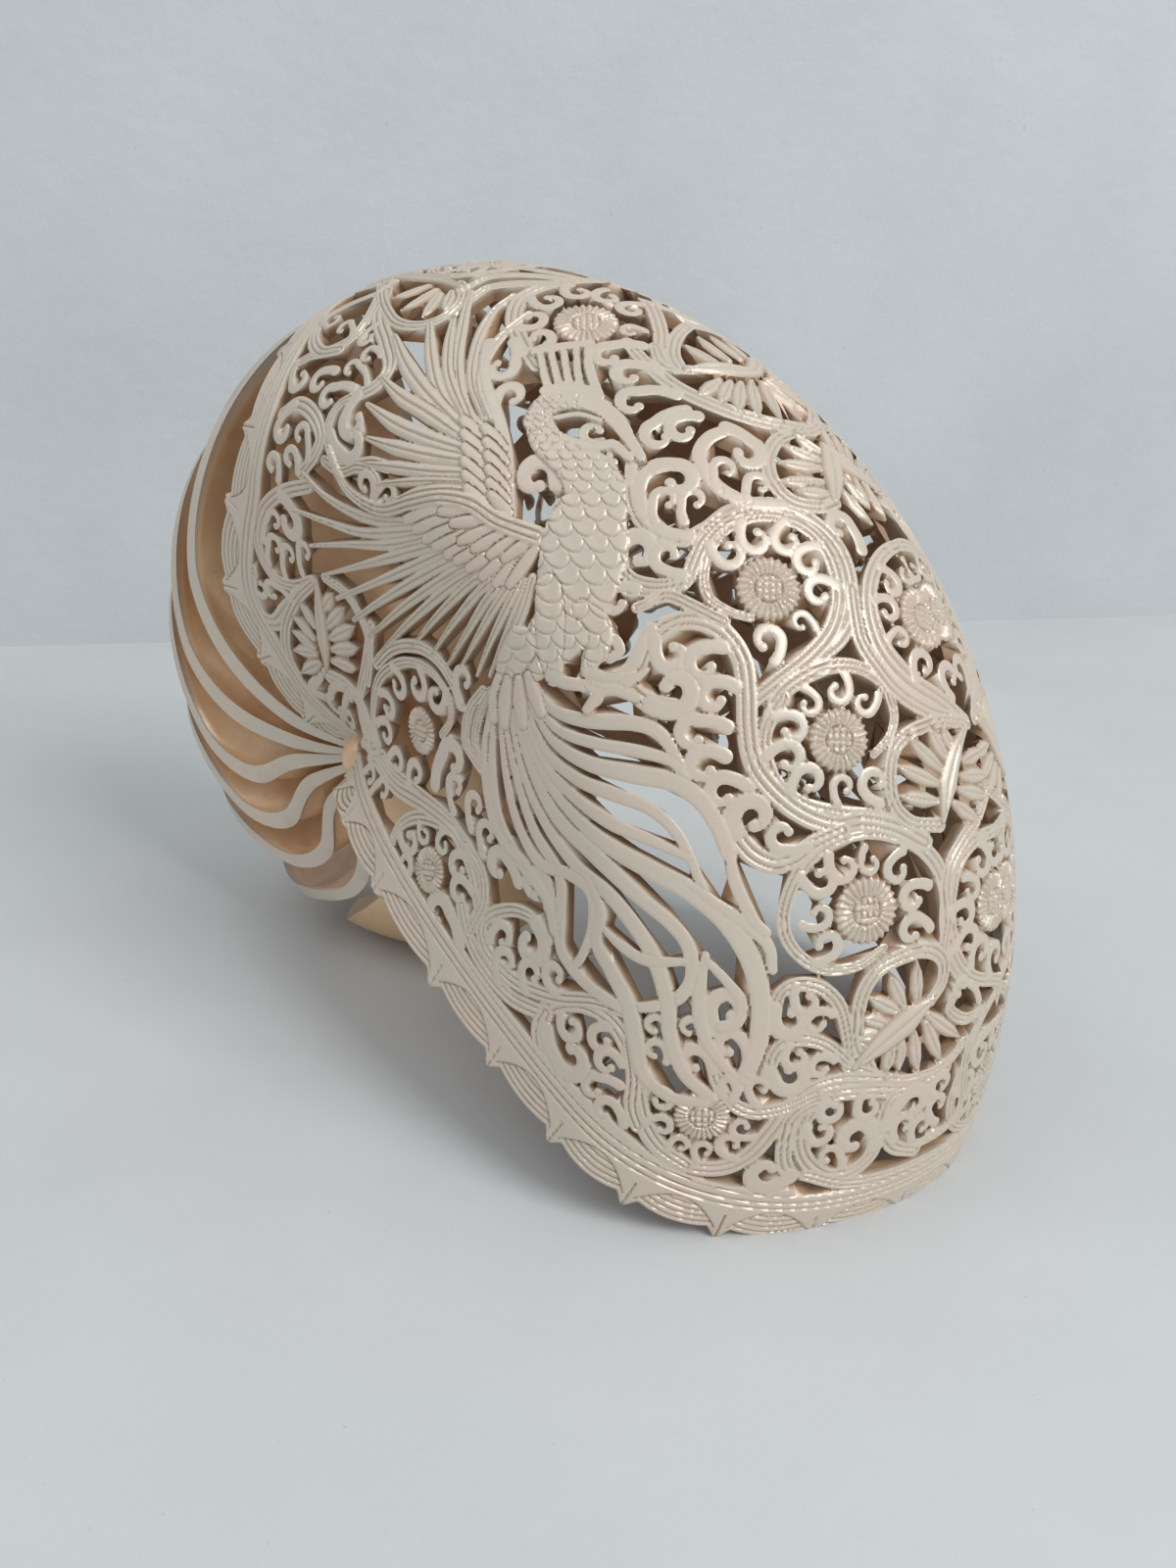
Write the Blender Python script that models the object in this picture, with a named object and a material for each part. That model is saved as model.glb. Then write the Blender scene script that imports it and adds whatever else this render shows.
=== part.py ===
"""Carved chambered nautilus shell, lying on the rim of its aperture.

The shell is one grown piece. Its living chamber is a thin wall pierced all over in openwork. Behind it the
outer wall has been ground away, so the edges of the septa stand free like blades around the umbilicus.
Everything follows one log spiral. A place on it is given by two angles in degrees: the spiral angle, which
is the polar angle about the coiling axis (0 towards +X, 90 up) and rises towards the apex, and the girth,
which is 0 on the keel, negative on the near flank (-Y) and 180 at the umbilicus.
"""

import math

import bmesh
import bpy
import numpy as np
from mathutils.geometry import delaunay_2d_cdt

# Driving dimensions in metres
KEEL_RADIUS = 0.104
AXIS_PLACE = (-0.0235, 0.0, 0.0434)
WALL = 0.0021
THIN_WALL = 0.001
BLADE_EDGE = 0.0032
BLADE = 0.0017
REST_CUT = 0.0006

# Form of the spiral: growth over one radian, then shares of the keel radius at spiral angle 0
GROWTH = 0.188
HALF_WIDTH = 0.404
WIDEST_AT = 0.632
UMBILICUS_DEPTH = 0.241
UMBILICUS_RADIUS = 0.02
OUTER_POWER = 1.155
INNER_POWER = 1.237
FLANK_POWER = 1.6
EASE = 0.2

# Limits of the openwork wall, in degrees: the lip, then the edge towards the septa as (girth, spiral angle)
LIP_WAVE = (-25.6, 1.5, 0.4, 1.1)
SEPTAL_EDGE = ((0, 107), (67, 107), (89, 115), (105, 132), (122, 143), (139, 166), (152, 186), (172, 198))
WALL_GIRTH = 172
TOOTH_PITCH = 0.0165
TOOTH_HEIGHT = 0.0012
BORDER_WIDTH = 0.0058

# Each septum's edge: spiral angle on the keel, flank, lobe and saddle, which lie at SUTURE_GIRTHS
SUTURE_GIRTHS = (0, 62, 107, 128, 168)
SEPTA = (
    (107.5, 122, 149, 160, 178),
    (127, 143, 171, 178, 192),
    (149, 163, 197, 192, 202),
    (170, 186, 218, 207, 214),
    (192, 209, 239, 225, 228),
    (218, 238, 260, 245, 244),
)
CHAMBERED_FROM = (243, 258, 277, 264, 262)
CHAMBERED_TURN = 345
SEPTUM_BULGE = 15.0
TURN_RATIO = math.exp(-GROWTH * 2 * math.pi)
COLUMELLA = ((0.272, 0.02), (0.262, 0.036), (0.2, 0.04), (0.17, 0.046))

# Each septum's mesh: its girths, its depths from edge to root, where it meets the surface and sinks in
SEPTUM_GIRTHS = np.array([0, 26, 52, 74, 91, 106, 120, 134, 150, 168], float)
SEPTUM_DEPTHS = np.array([0.0, 0.14, 0.5, 1.0])
FLUSH = 0.995
SUNK = 0.93
THICKEST = 0.16

# Spacing of the mesh: between places, between openings and between the openings of one motif
MESH_STEP = 0.0114
EDGE_ROOM = 0.0036
HOLE_GAP = 0.0019
THIN_GAP = 0.0009
FLAT_SCALE = np.array([0.8, 0.45])
FIRST_ANGLE, LAST_ANGLE = -24.0, 214.0
COLUMELLA_SIDES = 14

# The bird on each flank, as places (spiral angle, girth) on the near flank: for the wings and the tail the
# roots, the tips, the number of openings between them, and their widths at the root and the tip
UPPER_WING = (
    [(59, -53), (62, -61), (63, -67), (62, -71)], [(71, -33), (76, -45), (76, -60), (73, -78)],
    8, 0.0006, 0.0046,
)
LOWER_WING = (
    [(58, -80), (55, -90), (49, -93), (43, -88)], [(84, -90), (87, -104), (72, -117), (40, -106)],
    11, 0.0005, 0.005,
)
TAIL = (
    [(25, -98), (23, -86), (24, -76), (23, -64)], [(-7, -90), (-11, -76), (-6, -62), (4, -50)],
    5, 0.0012, 0.003,
)
BODY = ((56, -39), (48, -52), (42, -57), (37, -68), (31, -84))
BODY_ROOM = 0.0085

# Flowers on the near flank and on the keel, the ring of openings about each, and the scrollwork between
FLOWERS = ((31, -36), (18, -36), (4, -38), (31, -121), (-4, -123), (-14, -66), (52, -19), (63, -20))
KEEL_FLOWERS = ((25, 0), (2, 0), (46, 0), (86, 0), (-16, 0))
FLOWER_RADIUS = 0.005
RING_RADIUS = 0.0098
RING_OPENINGS = 7
RING_SHARE = 0.66
SCROLL_PITCH = 0.0104
SCROLL_SIZE = 0.0074
SCROLL_TURNS = (11, 7)
SCROLL_LIMIT = 146.0
SCROLL_STAGGER = 4.0


def eased(value, power):
    """A power of the value that keeps its sign and has no kink at zero."""
    return value * ((value**2 + EASE**2) / (1 + EASE**2)) ** ((power - 1) / 2)


def section(girth):
    """Radius and sideways place of the whorl's outline, as shares of the spiral's radius."""
    turn = np.radians(np.abs(girth))
    across, up = np.sin(turn), np.cos(turn)
    outer = up > 0
    radius = np.where(
        outer,
        WIDEST_AT + (1 - WIDEST_AT) * eased(up, OUTER_POWER),
        WIDEST_AT + (WIDEST_AT - UMBILICUS_RADIUS) * eased(up, INNER_POWER),
    )
    side = np.where(
        outer,
        HALF_WIDTH * eased(across, OUTER_POWER),
        UMBILICUS_DEPTH + (HALF_WIDTH - UMBILICUS_DEPTH) * eased(across, FLANK_POWER),
    )
    return radius, side * np.sign(girth)


def spiral(angle):
    """Radius of the keel at a spiral angle."""
    return KEEL_RADIUS * np.exp(-GROWTH * np.radians(angle))


def outline_points(angle, girth, scale=1.0):
    """Points on the whorl's surface, about the coiling axis."""
    angle, girth = np.broadcast_arrays(np.asarray(angle, float), np.asarray(girth, float))
    radius, side = section(girth)
    size = spiral(angle) * scale
    turn = np.radians(angle)
    return np.stack([size * radius * np.cos(turn), size * side, size * radius * np.sin(turn)], -1)


def shell_points(angle, girth, depth=0.0):
    """Points below the whorl's surface, measured along its normal."""
    step = 0.05
    along = outline_points(angle + step, girth) - outline_points(angle - step, girth)
    round_it = outline_points(angle, girth + step) - outline_points(angle, girth - step)
    normal = np.cross(round_it, along)
    normal /= np.linalg.norm(normal, axis=-1, keepdims=True)
    return outline_points(angle, girth) - normal * depth


def smooth_table(knots, values, at):
    """Values between the knots on a smooth monotone curve."""
    knots, values = np.asarray(knots, float), np.asarray(values, float)
    slope = np.diff(values) / np.diff(knots)
    tangent = np.concatenate([[slope[0] * 0.3], (slope[1:] + slope[:-1]) / 2, [slope[-1]]])
    place = np.clip(np.searchsorted(knots, at, side="right") - 1, 0, len(slope) - 1)
    width = knots[place + 1] - knots[place]
    t = np.clip((at - knots[place]) / width, 0, 1)
    low, high = values[place], values[place + 1]
    return (
        (2 * t**3 - 3 * t**2 + 1) * low
        + (t**3 - 2 * t**2 + t) * width * tangent[place]
        + (3 * t**2 - 2 * t**3) * high
        + (t**3 - t**2) * width * tangent[place + 1]
    )


def lip_angle(girth):
    """Spiral angle of the lip."""
    turn = np.radians(girth)
    return sum(part * np.cos(n * turn) for n, part in enumerate(LIP_WAVE))


def septal_edge_angle(girth):
    """Spiral angle where the openwork stops and the septa begin."""
    knots, values = zip(*SEPTAL_EDGE)
    return smooth_table(knots, values, np.abs(girth))


def suture_angle(septum, girth):
    """Spiral angle of a septum's edge."""
    return smooth_table(SUTURE_GIRTHS, septum, np.abs(girth))


def toothed_edge(angle_of, outward):
    """An edge across the whole girth, with a small tooth at every pitch and a scallop between teeth."""
    girth = np.linspace(-WALL_GIRTH, WALL_GIRTH, 1401)
    angle = angle_of(girth)
    points = outline_points(angle, girth)
    run = np.concatenate([[0], np.cumsum(np.linalg.norm(np.diff(points, axis=0), axis=1))])
    middle = run[len(run) // 2]
    count = int((middle - 0.5 * TOOTH_PITCH) // TOOTH_PITCH)
    edge = [(girth[0], 0.0)]
    for tooth in range(-count, count + 1):
        centre = middle + tooth * TOOTH_PITCH
        for shift, height in ((-0.16, 0.0), (0.0, 1.0), (0.16, 0.0)):
            at = centre + shift * TOOTH_PITCH
            if at < run[-1] - 0.3 * TOOTH_PITCH:
                edge.append((np.interp(at, run, girth), height))
    edge.append((girth[-1], 0.0))
    girth, height = np.array(edge).T
    reach = np.degrees(height * TOOTH_HEIGHT / spiral(angle_of(girth)))
    return np.column_stack([angle_of(girth) + outward * reach, girth])


def umbilical_edge(start, end, count=13):
    """Places round the coiling axis between the two ends of the wall's edges."""
    return np.linspace(start, end, count)[1:-1]


def flatten(places):
    """The wall laid out flat, so that lengths on it come out nearly true."""
    angle, girth = np.asarray(places, float).T
    return np.radians(np.column_stack([angle, girth])) * FLAT_SCALE * KEEL_RADIUS


def patch(centre, outline):
    """An outline in metres about a centre (spiral angle, girth), as places on the shell."""
    angle, girth = centre
    radius = abs(float(section(np.array([girth]))[0][0]))
    size = float(spiral(angle))
    outline = np.asarray(outline, float)
    return np.column_stack([
        angle - np.degrees(outline[:, 0] / (size * radius)),
        girth - np.degrees(outline[:, 1] / (size * FLAT_SCALE[1])),
    ])


def rosette(centre, turn=0.0):
    """Openings in a ring about a flower."""
    holes = []
    for n in range(RING_OPENINGS):
        at = turn + 2 * math.pi * n / RING_OPENINGS
        half = math.pi / RING_OPENINGS * RING_SHARE
        corners = [(FLOWER_RADIUS, -half), (RING_RADIUS, -half), (RING_RADIUS, half), (FLOWER_RADIUS, half)]
        holes.append(patch(centre, [(r * math.cos(at + a), r * math.sin(at + a)) for r, a in corners]))
    return holes


def slot(start, end, start_width, end_width):
    """One long opening between two places, with a width at each end."""
    start, end = np.array(start, float), np.array(end, float)
    flat_start, flat_end = flatten([start, end])
    length = np.linalg.norm(flat_end - flat_start)
    along = (flat_end - flat_start) / length
    across = np.array([-along[1], along[0]])
    shape = []
    for t, width in ((0, start_width), (0.6, end_width), (1, 0.5 * end_width)):
        shape.append((t, width / 2))
    ring = shape + [(t, -half) for t, half in reversed(shape)]
    places = [flat_start + along * length * t + across * w for t, w in ring]
    return np.degrees(np.array(places) / (FLAT_SCALE * KEEL_RADIUS))


def fan(roots, tips, count, root_width, tip_width):
    """Openings between the feathers of a wing, from its arm to its tips."""
    steps = np.linspace(0, 1, count)
    knots_in = np.linspace(0, 1, len(roots))
    knots_out = np.linspace(0, 1, len(tips))
    holes = []
    for step in steps:
        start = [np.interp(step, knots_in, column) for column in np.array(roots, float).T]
        end = [np.interp(step, knots_out, column) for column in np.array(tips, float).T]
        holes.append(slot(start, end, root_width, tip_width))
    return holes


def drop(centre, size, turn):
    """A comma-shaped opening of the scrollwork."""
    ring = [(0.66, 0), (0.48, 80), (0.5, 140), (0.5, 220), (0.48, 280)]
    outline = [(r * size * math.cos(math.radians(a) + turn), r * size * math.sin(math.radians(a) + turn))
               for r, a in ring]
    return patch(centre, outline)


def carved_openings():
    """Every opening that the carver planned by hand: flowers, wings and tail, on both flanks."""
    near = []
    for place in FLOWERS:
        near.append(rosette(place, 0.3))
    near += [fan(*UPPER_WING), fan(*LOWER_WING), fan(*TAIL)]
    groups = near + [[hole[::-1] * (1, -1) for hole in group] for group in near]
    for place in KEEL_FLOWERS:
        groups.append(rosette(place))
    return groups


def clear_of(places, others, gap):
    """Whether an opening keeps its distance from points on the surface that are already taken."""
    if not others:
        return True
    here = outline_points(*dense(places).T)
    there = np.concatenate(others)
    return np.linalg.norm(here[:, None] - there[None], axis=2).min() > gap


def dense(places, parts=9):
    """A closed outline with extra places along each side."""
    following = np.roll(places, -1, axis=0)
    steps = [places + (following - places) * n / parts for n in range(parts)]
    return np.stack(steps, 1).reshape(-1, 2)


def on_wall(places, margin):
    """Whether an opening lies inside the wall's borders."""
    angle, girth = np.asarray(places, float).T
    radius, _ = section(girth)
    room = np.degrees(margin / (spiral(angle) * np.maximum(radius, 0.05)))
    if np.abs(girth).max() > 150:
        return False
    return bool(np.all(angle > lip_angle(girth) + room) and np.all(angle < septal_edge_angle(girth) - room))


def openings():
    """Planned openings, then scrollwork wherever there is still room."""
    kept, taken = [], []
    bodies = [outline_points(*place)[None] for place in BODY + tuple((a, -g) for a, g in BODY)]
    for group in carved_openings():
        own = []
        for hole in group:
            if on_wall(hole, BORDER_WIDTH) and clear_of(hole, taken, HOLE_GAP) and clear_of(hole, own, THIN_GAP):
                kept.append(hole)
                own.append(outline_points(*dense(hole).T))
        taken += own
    row = 0
    girth = -SCROLL_LIMIT
    while girth <= SCROLL_LIMIT:
        radius = float(section(np.array([girth]))[0][0])
        angle = FIRST_ANGLE + (row % 2) * SCROLL_STAGGER
        while angle < LAST_ANGLE:
            size = float(spiral(angle))
            turn = math.radians(angle * SCROLL_TURNS[0] + girth * SCROLL_TURNS[1])
            hole = drop((angle, girth), SCROLL_SIZE, turn)
            away = clear_of(hole, bodies, BODY_ROOM)
            if away and on_wall(hole, BORDER_WIDTH) and clear_of(hole, taken, HOLE_GAP):
                kept.append(hole)
                taken.append(outline_points(*dense(hole).T))
            angle += math.degrees(SCROLL_PITCH * 0.5 / (size * max(radius, 0.1)))
        girth += math.degrees(SCROLL_PITCH / (KEEL_RADIUS * FLAT_SCALE[0]))
        row += 1
    return kept


def inside(points, outline):
    """Which flat points lie inside a flat outline."""
    following = np.roll(outline, -1, axis=0)
    x, y = points[:, 0][:, None], points[:, 1][:, None]
    crosses = (outline[:, 1] > y) != (following[:, 1] > y)
    rise = np.where(following[:, 1] == outline[:, 1], 1e-12, following[:, 1] - outline[:, 1])
    meets = outline[:, 0] + (y - outline[:, 1]) * (following[:, 0] - outline[:, 0]) / rise
    return np.count_nonzero(crosses & (x < meets), axis=1) % 2 == 1


def filling_places(loops):
    """Extra places between the outlines, so that the wall bends evenly."""
    edges = np.concatenate([outline_points(*dense(loop).T) for loop in loops])
    found = []
    row = 0
    for girth in np.arange(-160.0, 161.0, 9.0):
        radius = float(section(np.array([girth]))[0][0])
        step = math.degrees(MESH_STEP / (KEEL_RADIUS * FLAT_SCALE[0] * max(radius, 0.12)))
        for angle in np.arange(FIRST_ANGLE + (row % 2) * step / 2, LAST_ANGLE, step):
            place = np.array([[angle, girth]])
            on_it = lip_angle(girth) + 2 < angle < septal_edge_angle(np.array([girth]))[0] - 2
            point = outline_points(*place.T)
            if on_it and np.linalg.norm(edges - point, axis=1).min() > EDGE_ROOM:
                found.append(place[0])
        row += 1
    return np.array(found)


def wall_mesh():
    """The openwork wall: one layout, triangulated once and raised as an outer and an inner face."""
    lip = toothed_edge(lip_angle, -1)
    septal = toothed_edge(septal_edge_angle, 1)
    far, near = umbilical_edge(lip[-1], septal[-1]), umbilical_edge(septal[0], lip[0])
    rim = np.concatenate([lip, far, septal[::-1], near])
    holes = openings()
    loops = [rim] + holes
    extra = filling_places(loops)
    places = np.concatenate(loops + [extra])
    edges = []
    start = 0
    for loop in loops:
        count = len(loop)
        edges += [(start + n, start + (n + 1) % count) for n in range(count)]
        start += count
    flat = flatten(places)
    verts, _, faces, *_ = delaunay_2d_cdt([tuple(p) for p in flat], edges, [], 0, 1e-9)
    if len(verts) != len(places):
        raise RuntimeError("openings cross one another")
    triangles = np.array([list(face) for face in faces])
    middles = flat[triangles].mean(axis=1)
    keep = inside(middles, flatten(rim))
    for hole in holes:
        keep &= ~inside(middles, flatten(hole))
    return places, triangles[keep]


def add_shell_wall(mesh):
    """Raises the layout into a closed wall."""
    places, triangles = wall_mesh()
    angle, girth = places.T
    outer = shell_points(angle, girth)
    thin = np.interp(np.abs(girth), (130, 165), (1.0, THIN_WALL / WALL))
    inner = shell_points(angle, girth, WALL * thin[:, None])
    used = np.unique(triangles)
    top = {int(n): mesh.verts.new(outer[n]) for n in used}
    bottom = {int(n): mesh.verts.new(inner[n]) for n in used}
    count = {}
    for a, b, c in triangles.tolist():
        mesh.faces.new((top[a], top[b], top[c]))
        mesh.faces.new((bottom[c], bottom[b], bottom[a]))
        for edge in ((a, b), (b, c), (c, a)):
            count[edge] = True
    for a, b in count:
        if (b, a) not in count:
            mesh.faces.new((top[b], top[a], bottom[a], bottom[b]))


def grid_solid(mesh, front, back):
    """A closed sheet between two grids of points."""
    rows, columns = front.shape[:2]
    layers = [[[mesh.verts.new(p) for p in row] for row in grid] for grid in (front, back)]
    a, b = layers
    for r in range(rows - 1):
        for c in range(columns - 1):
            mesh.faces.new((a[r][c], a[r][c + 1], a[r + 1][c + 1], a[r + 1][c]))
            mesh.faces.new((b[r + 1][c], b[r + 1][c + 1], b[r][c + 1], b[r][c]))
    ring = [(0, c) for c in range(columns)] + [(r, columns - 1) for r in range(1, rows)]
    ring += [(rows - 1, c) for c in range(columns - 2, -1, -1)] + [(r, 0) for r in range(rows - 2, 0, -1)]
    for (r, c), (s, d) in zip(ring, ring[1:] + ring[:1]):
        mesh.faces.new((a[s][d], a[r][c], b[r][c], b[s][d]))


def septum_points(septum, shift):
    """One face of a septum, from its edge at the surface down to the whorl inside it."""
    girth = np.concatenate([-SEPTUM_GIRTHS[:0:-1], SEPTUM_GIRTHS])[:, None]
    depth = SEPTUM_DEPTHS[None, :]
    room = 0.25 + 0.75 * np.cos(np.radians(girth) / 2) ** 2
    angle = suture_angle(septum, girth) + SEPTUM_BULGE * room * np.sin(np.pi * depth**0.8)
    outer = outline_points(angle, girth, FLUSH)
    inner = outline_points(angle, girth, TURN_RATIO * SUNK)
    points = outer * (1 - depth[..., None]) + inner * depth[..., None]
    radius = np.hypot(points[..., 0], points[..., 2])
    thick = np.where(depth < 0.05, BLADE_EDGE, BLADE)
    thick = np.minimum(thick, THICKEST * radius)
    turn = np.radians(angle + shift * np.degrees(thick / radius))
    return np.stack([radius * np.cos(turn), points[..., 1], radius * np.sin(turn)], -1)


def septum_object(septum, name):
    """A septum as a thin dish."""
    mesh = bmesh.new()
    grid_solid(mesh, septum_points(septum, 1.0), septum_points(septum, 0.0))
    return mesh_object(mesh, name)


def chambered_part():
    """The closed whorl that runs on inside, from the last bare septum to the apex."""
    mesh = bmesh.new()
    girth = np.concatenate([-SEPTUM_GIRTHS[:0:-1], SEPTUM_GIRTHS])
    girth[0], girth[-1] = -179.9, 179.9
    start = suture_angle(CHAMBERED_FROM, np.minimum(np.abs(girth), WALL_GIRTH))
    steps = 14
    rings = []
    for n in range(steps + 1):
        share = (n / steps) ** 1.5
        angle = start * (1 - share) + (CHAMBERED_FROM[0] + CHAMBERED_TURN) * share
        rings.append([mesh.verts.new(p) for p in outline_points(angle, girth, FLUSH)])
    count = len(girth)
    for here, there in zip(rings, rings[1:]):
        for c in range(count):
            d = (c + 1) % count
            mesh.faces.new((here[c], here[d], there[d], there[c]))
    face = start + SEPTUM_BULGE * 0.8
    middle = outline_points(face, girth, 0.6)
    dish = [mesh.verts.new(p) for p in middle]
    for c in range(count):
        d = (c + 1) % count
        mesh.faces.new((rings[0][d], rings[0][c], dish[c], dish[d]))
    half = count // 2
    for c in range(half):
        far = count - 1 - c
        mesh.faces.new((dish[c + 1], dish[c], dish[far], dish[far - 1]) if c + 1 != far - 1
                       else (dish[c + 1], dish[c], dish[far]))
    mesh.faces.new(rings[-1])
    return mesh_object(mesh, "chambered_part")


def columella():
    """The solid core on the coiling axis where all the septa meet."""
    mesh = bmesh.new()
    profile = [(y, r) for y, r in COLUMELLA] + [(-y, r) for y, r in reversed(COLUMELLA)]
    rings = []
    for y, r in profile:
        ring = []
        for n in range(COLUMELLA_SIDES):
            turn = 2 * math.pi * n / COLUMELLA_SIDES
            ring.append(mesh.verts.new((KEEL_RADIUS * r * math.cos(turn), KEEL_RADIUS * y,
                                        KEEL_RADIUS * r * math.sin(turn))))
        rings.append(ring)
    for here, there in zip(rings, rings[1:]):
        for n in range(COLUMELLA_SIDES):
            m = (n + 1) % COLUMELLA_SIDES
            mesh.faces.new((here[n], here[m], there[m], there[n]))
    mesh.faces.new(rings[0][::-1])
    mesh.faces.new(rings[-1])
    return mesh_object(mesh, "columella")


def mesh_object(mesh, name):
    """An object from a bmesh, with its faces pointing out."""
    bmesh.ops.triangulate(mesh, faces=mesh.faces)
    bmesh.ops.recalc_face_normals(mesh, faces=mesh.faces)
    data = bpy.data.meshes.new(name)
    mesh.to_mesh(data)
    mesh.free()
    thing = bpy.data.objects.new(name, data)
    bpy.context.collection.objects.link(thing)
    return thing


def combine(target, tool, operation):
    """Applies a Boolean to the target and removes the tool."""
    modifier = target.modifiers.new(operation.lower(), "BOOLEAN")
    modifier.operation = operation
    modifier.object = tool
    modifier.solver = "EXACT"
    bpy.context.view_layer.update()
    graph = bpy.context.evaluated_depsgraph_get()
    result = bpy.data.meshes.new_from_object(target.evaluated_get(graph))
    target.modifiers.clear()
    old = target.data
    target.data = result
    bpy.data.meshes.remove(old)
    bpy.data.objects.remove(tool)


def ground_block():
    """The space below the surface that the shell stands on."""
    mesh = bmesh.new()
    bmesh.ops.create_cube(mesh, size=0.5)
    bmesh.ops.translate(mesh, verts=mesh.verts, vec=(0, 0, -0.25 + REST_CUT - AXIS_PLACE[2]))
    return mesh_object(mesh, "ground")


def shell_material():
    """Polished, carved shell: warm cream with a silky shine."""
    material = bpy.data.materials.new("carved_shell")
    material.use_nodes = True
    shader = material.node_tree.nodes["Principled BSDF"]
    shader.inputs["Base Color"].default_value = (0.66, 0.57, 0.47, 1)
    shader.inputs["Roughness"].default_value = 0.38
    shader.inputs["Metallic"].default_value = 0.0
    return material


def build():
    """Makes the shell as one solid and sets it on its rim."""
    for old in list(bpy.data.objects):
        bpy.data.objects.remove(old)
    inside_part = chambered_part()
    combine(inside_part, columella(), "UNION")
    for n, septum in enumerate(SEPTA):
        combine(inside_part, septum_object(septum, f"septum_{n}"), "UNION")
    mesh = bmesh.new()
    add_shell_wall(mesh)
    shell = mesh_object(mesh, "shell")
    combine(shell, inside_part, "UNION")
    combine(shell, ground_block(), "DIFFERENCE")
    shell.location = (AXIS_PLACE[0], AXIS_PLACE[1], AXIS_PLACE[2] - REST_CUT)
    shell.data.materials.clear()
    shell.data.materials.append(shell_material())
    shell.data.shade_smooth()
    shell.data.set_sharp_from_angle(angle=math.radians(40))
    return shell


build()
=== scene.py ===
"""The looks of a carved chambered nautilus shell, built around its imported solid.

The near flank of the pierced wall is carved on a fine grid laid over the shell's spiral surface: every stem,
curl, petal and feather is a stroke that adds wall where it passes and gives it its relief. What no stroke
covers is open. The grid becomes a closed mesh, and the far flank is its mirror image.
Strokes are placed by pixels of the 1200 x 1600 photograph, carried onto the surface along the camera's rays.
Lengths on the surface are in millimetres; the finished meshes are in metres.
"""

import math

import bmesh
import bpy
import numpy as np
from mathutils import Matrix, Vector


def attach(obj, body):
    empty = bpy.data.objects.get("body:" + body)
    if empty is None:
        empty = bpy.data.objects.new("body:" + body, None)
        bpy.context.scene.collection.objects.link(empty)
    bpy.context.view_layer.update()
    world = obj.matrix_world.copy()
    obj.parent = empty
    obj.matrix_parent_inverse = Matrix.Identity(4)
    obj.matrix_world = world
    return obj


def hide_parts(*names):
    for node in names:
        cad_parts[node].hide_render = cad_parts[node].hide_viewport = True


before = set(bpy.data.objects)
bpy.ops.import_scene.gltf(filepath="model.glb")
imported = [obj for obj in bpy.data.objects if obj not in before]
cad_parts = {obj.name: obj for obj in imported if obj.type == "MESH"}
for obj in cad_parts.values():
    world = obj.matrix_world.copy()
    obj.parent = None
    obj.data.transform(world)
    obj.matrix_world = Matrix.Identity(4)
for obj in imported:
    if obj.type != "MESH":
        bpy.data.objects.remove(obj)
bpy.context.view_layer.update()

# The spiral, as in the solid: millimetres about the coiling axis, which lies along Y at AXIS_PLACE
AXIS_PLACE = np.array([-23.5, 0.0, 42.8])
KEEL_RADIUS = 104.0
GROWTH = 0.188
HALF_WIDTH = 0.404
WIDEST_AT = 0.632
UMBILICUS_DEPTH = 0.241
UMBILICUS_RADIUS = 0.02
OUTER_POWER = 1.155
INNER_POWER = 1.237
FLANK_POWER = 1.6
EASE = 0.2
TURN_RATIO = math.exp(-GROWTH * 2 * math.pi)
LIP_WAVE = (-25.6, 1.5, 0.4, 1.1)
SEPTAL_EDGE = ((0, 107), (67, 107), (89, 115), (105, 132), (122, 143), (139, 166), (152, 186), (172, 198))
FLAT_START = 0.3
MM = 0.001

# The camera: azimuth from -Y towards +X, elevation and roll in degrees, distance and aim in millimetres
PHOTO = (1200, 1600)
CAMERA_TURN = (35.32, 23.14, 2.99)
CAMERA_DISTANCE = 227.5
CAMERA_AIM = np.array([32.9, 0.0, -1.0])
FOCAL_PIXELS = 1400.0

# Spiral angles and girths, from, to and step, at which the camera's pixels are known from the start
CHART_ANGLES = (-40.0, 215.0, 2.0)
CHART_GIRTHS = (-176.0, 42.0, 2.0)

# The carved grid: its step and the wall in millimetres, its ends in degrees, the lengths that give its columns
# and rows, how far outside it the open air counts, and how far round a form the relief reaches
GRID_STEP = 0.23
WALL = 1.9
FIRST_ANGLE, LAST_ANGLE, LAST_GIRTH = -30.0, 200.0, 173.0
GRID_LENGTH = 88
GRID_HEIGHT = 0.45 * math.pi * 100
OPEN = -9.0
RIM = 2.0 * GRID_STEP

# The pieces that it is cut into, as shares of its columns, the most triangles in each, and the angle in
# degrees from which an edge stays sharp
PIECE_ENDS = (0.0, 0.19, 0.42, 1.0)
NEAR_TRIANGLES = 175000
FAR_TRIANGLES = 118000
SHARP_FROM = 38

# Relief in millimetres: how each layer stands over the stems, and the widths of short strokes
BUD_LEVEL = 0.25
TAIL_LEVEL = 0.1
FEATHER_LEVEL = 0.1
COVERT_LEVEL = 0.3
BODY_LEVEL = 0.45
SUNFLOWER_LEVEL = 0.2
PETAL_WIDTHS = (1.6, 3.0, 2.6, 0.3)
COVERT_WIDTHS = (2.0, 2.6, 2.6, 2.0)

# Curls: widths along one as shares of its size, how much it is enlarged, how far round its eye it leads in
# (radians) and then winds (degrees), how it draws in, and its bead as a share of its size
CURL_WIDTHS = np.array([1.05, 0.95, 0.98, 0.92, 0.8, 0.55])
CURL_GAIN = 1.1
CURL_LEAD = 1.1
CURL_TURN = 240
CURL_CLOSING = 0.5
CURL_BEAD = 0.34

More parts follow.
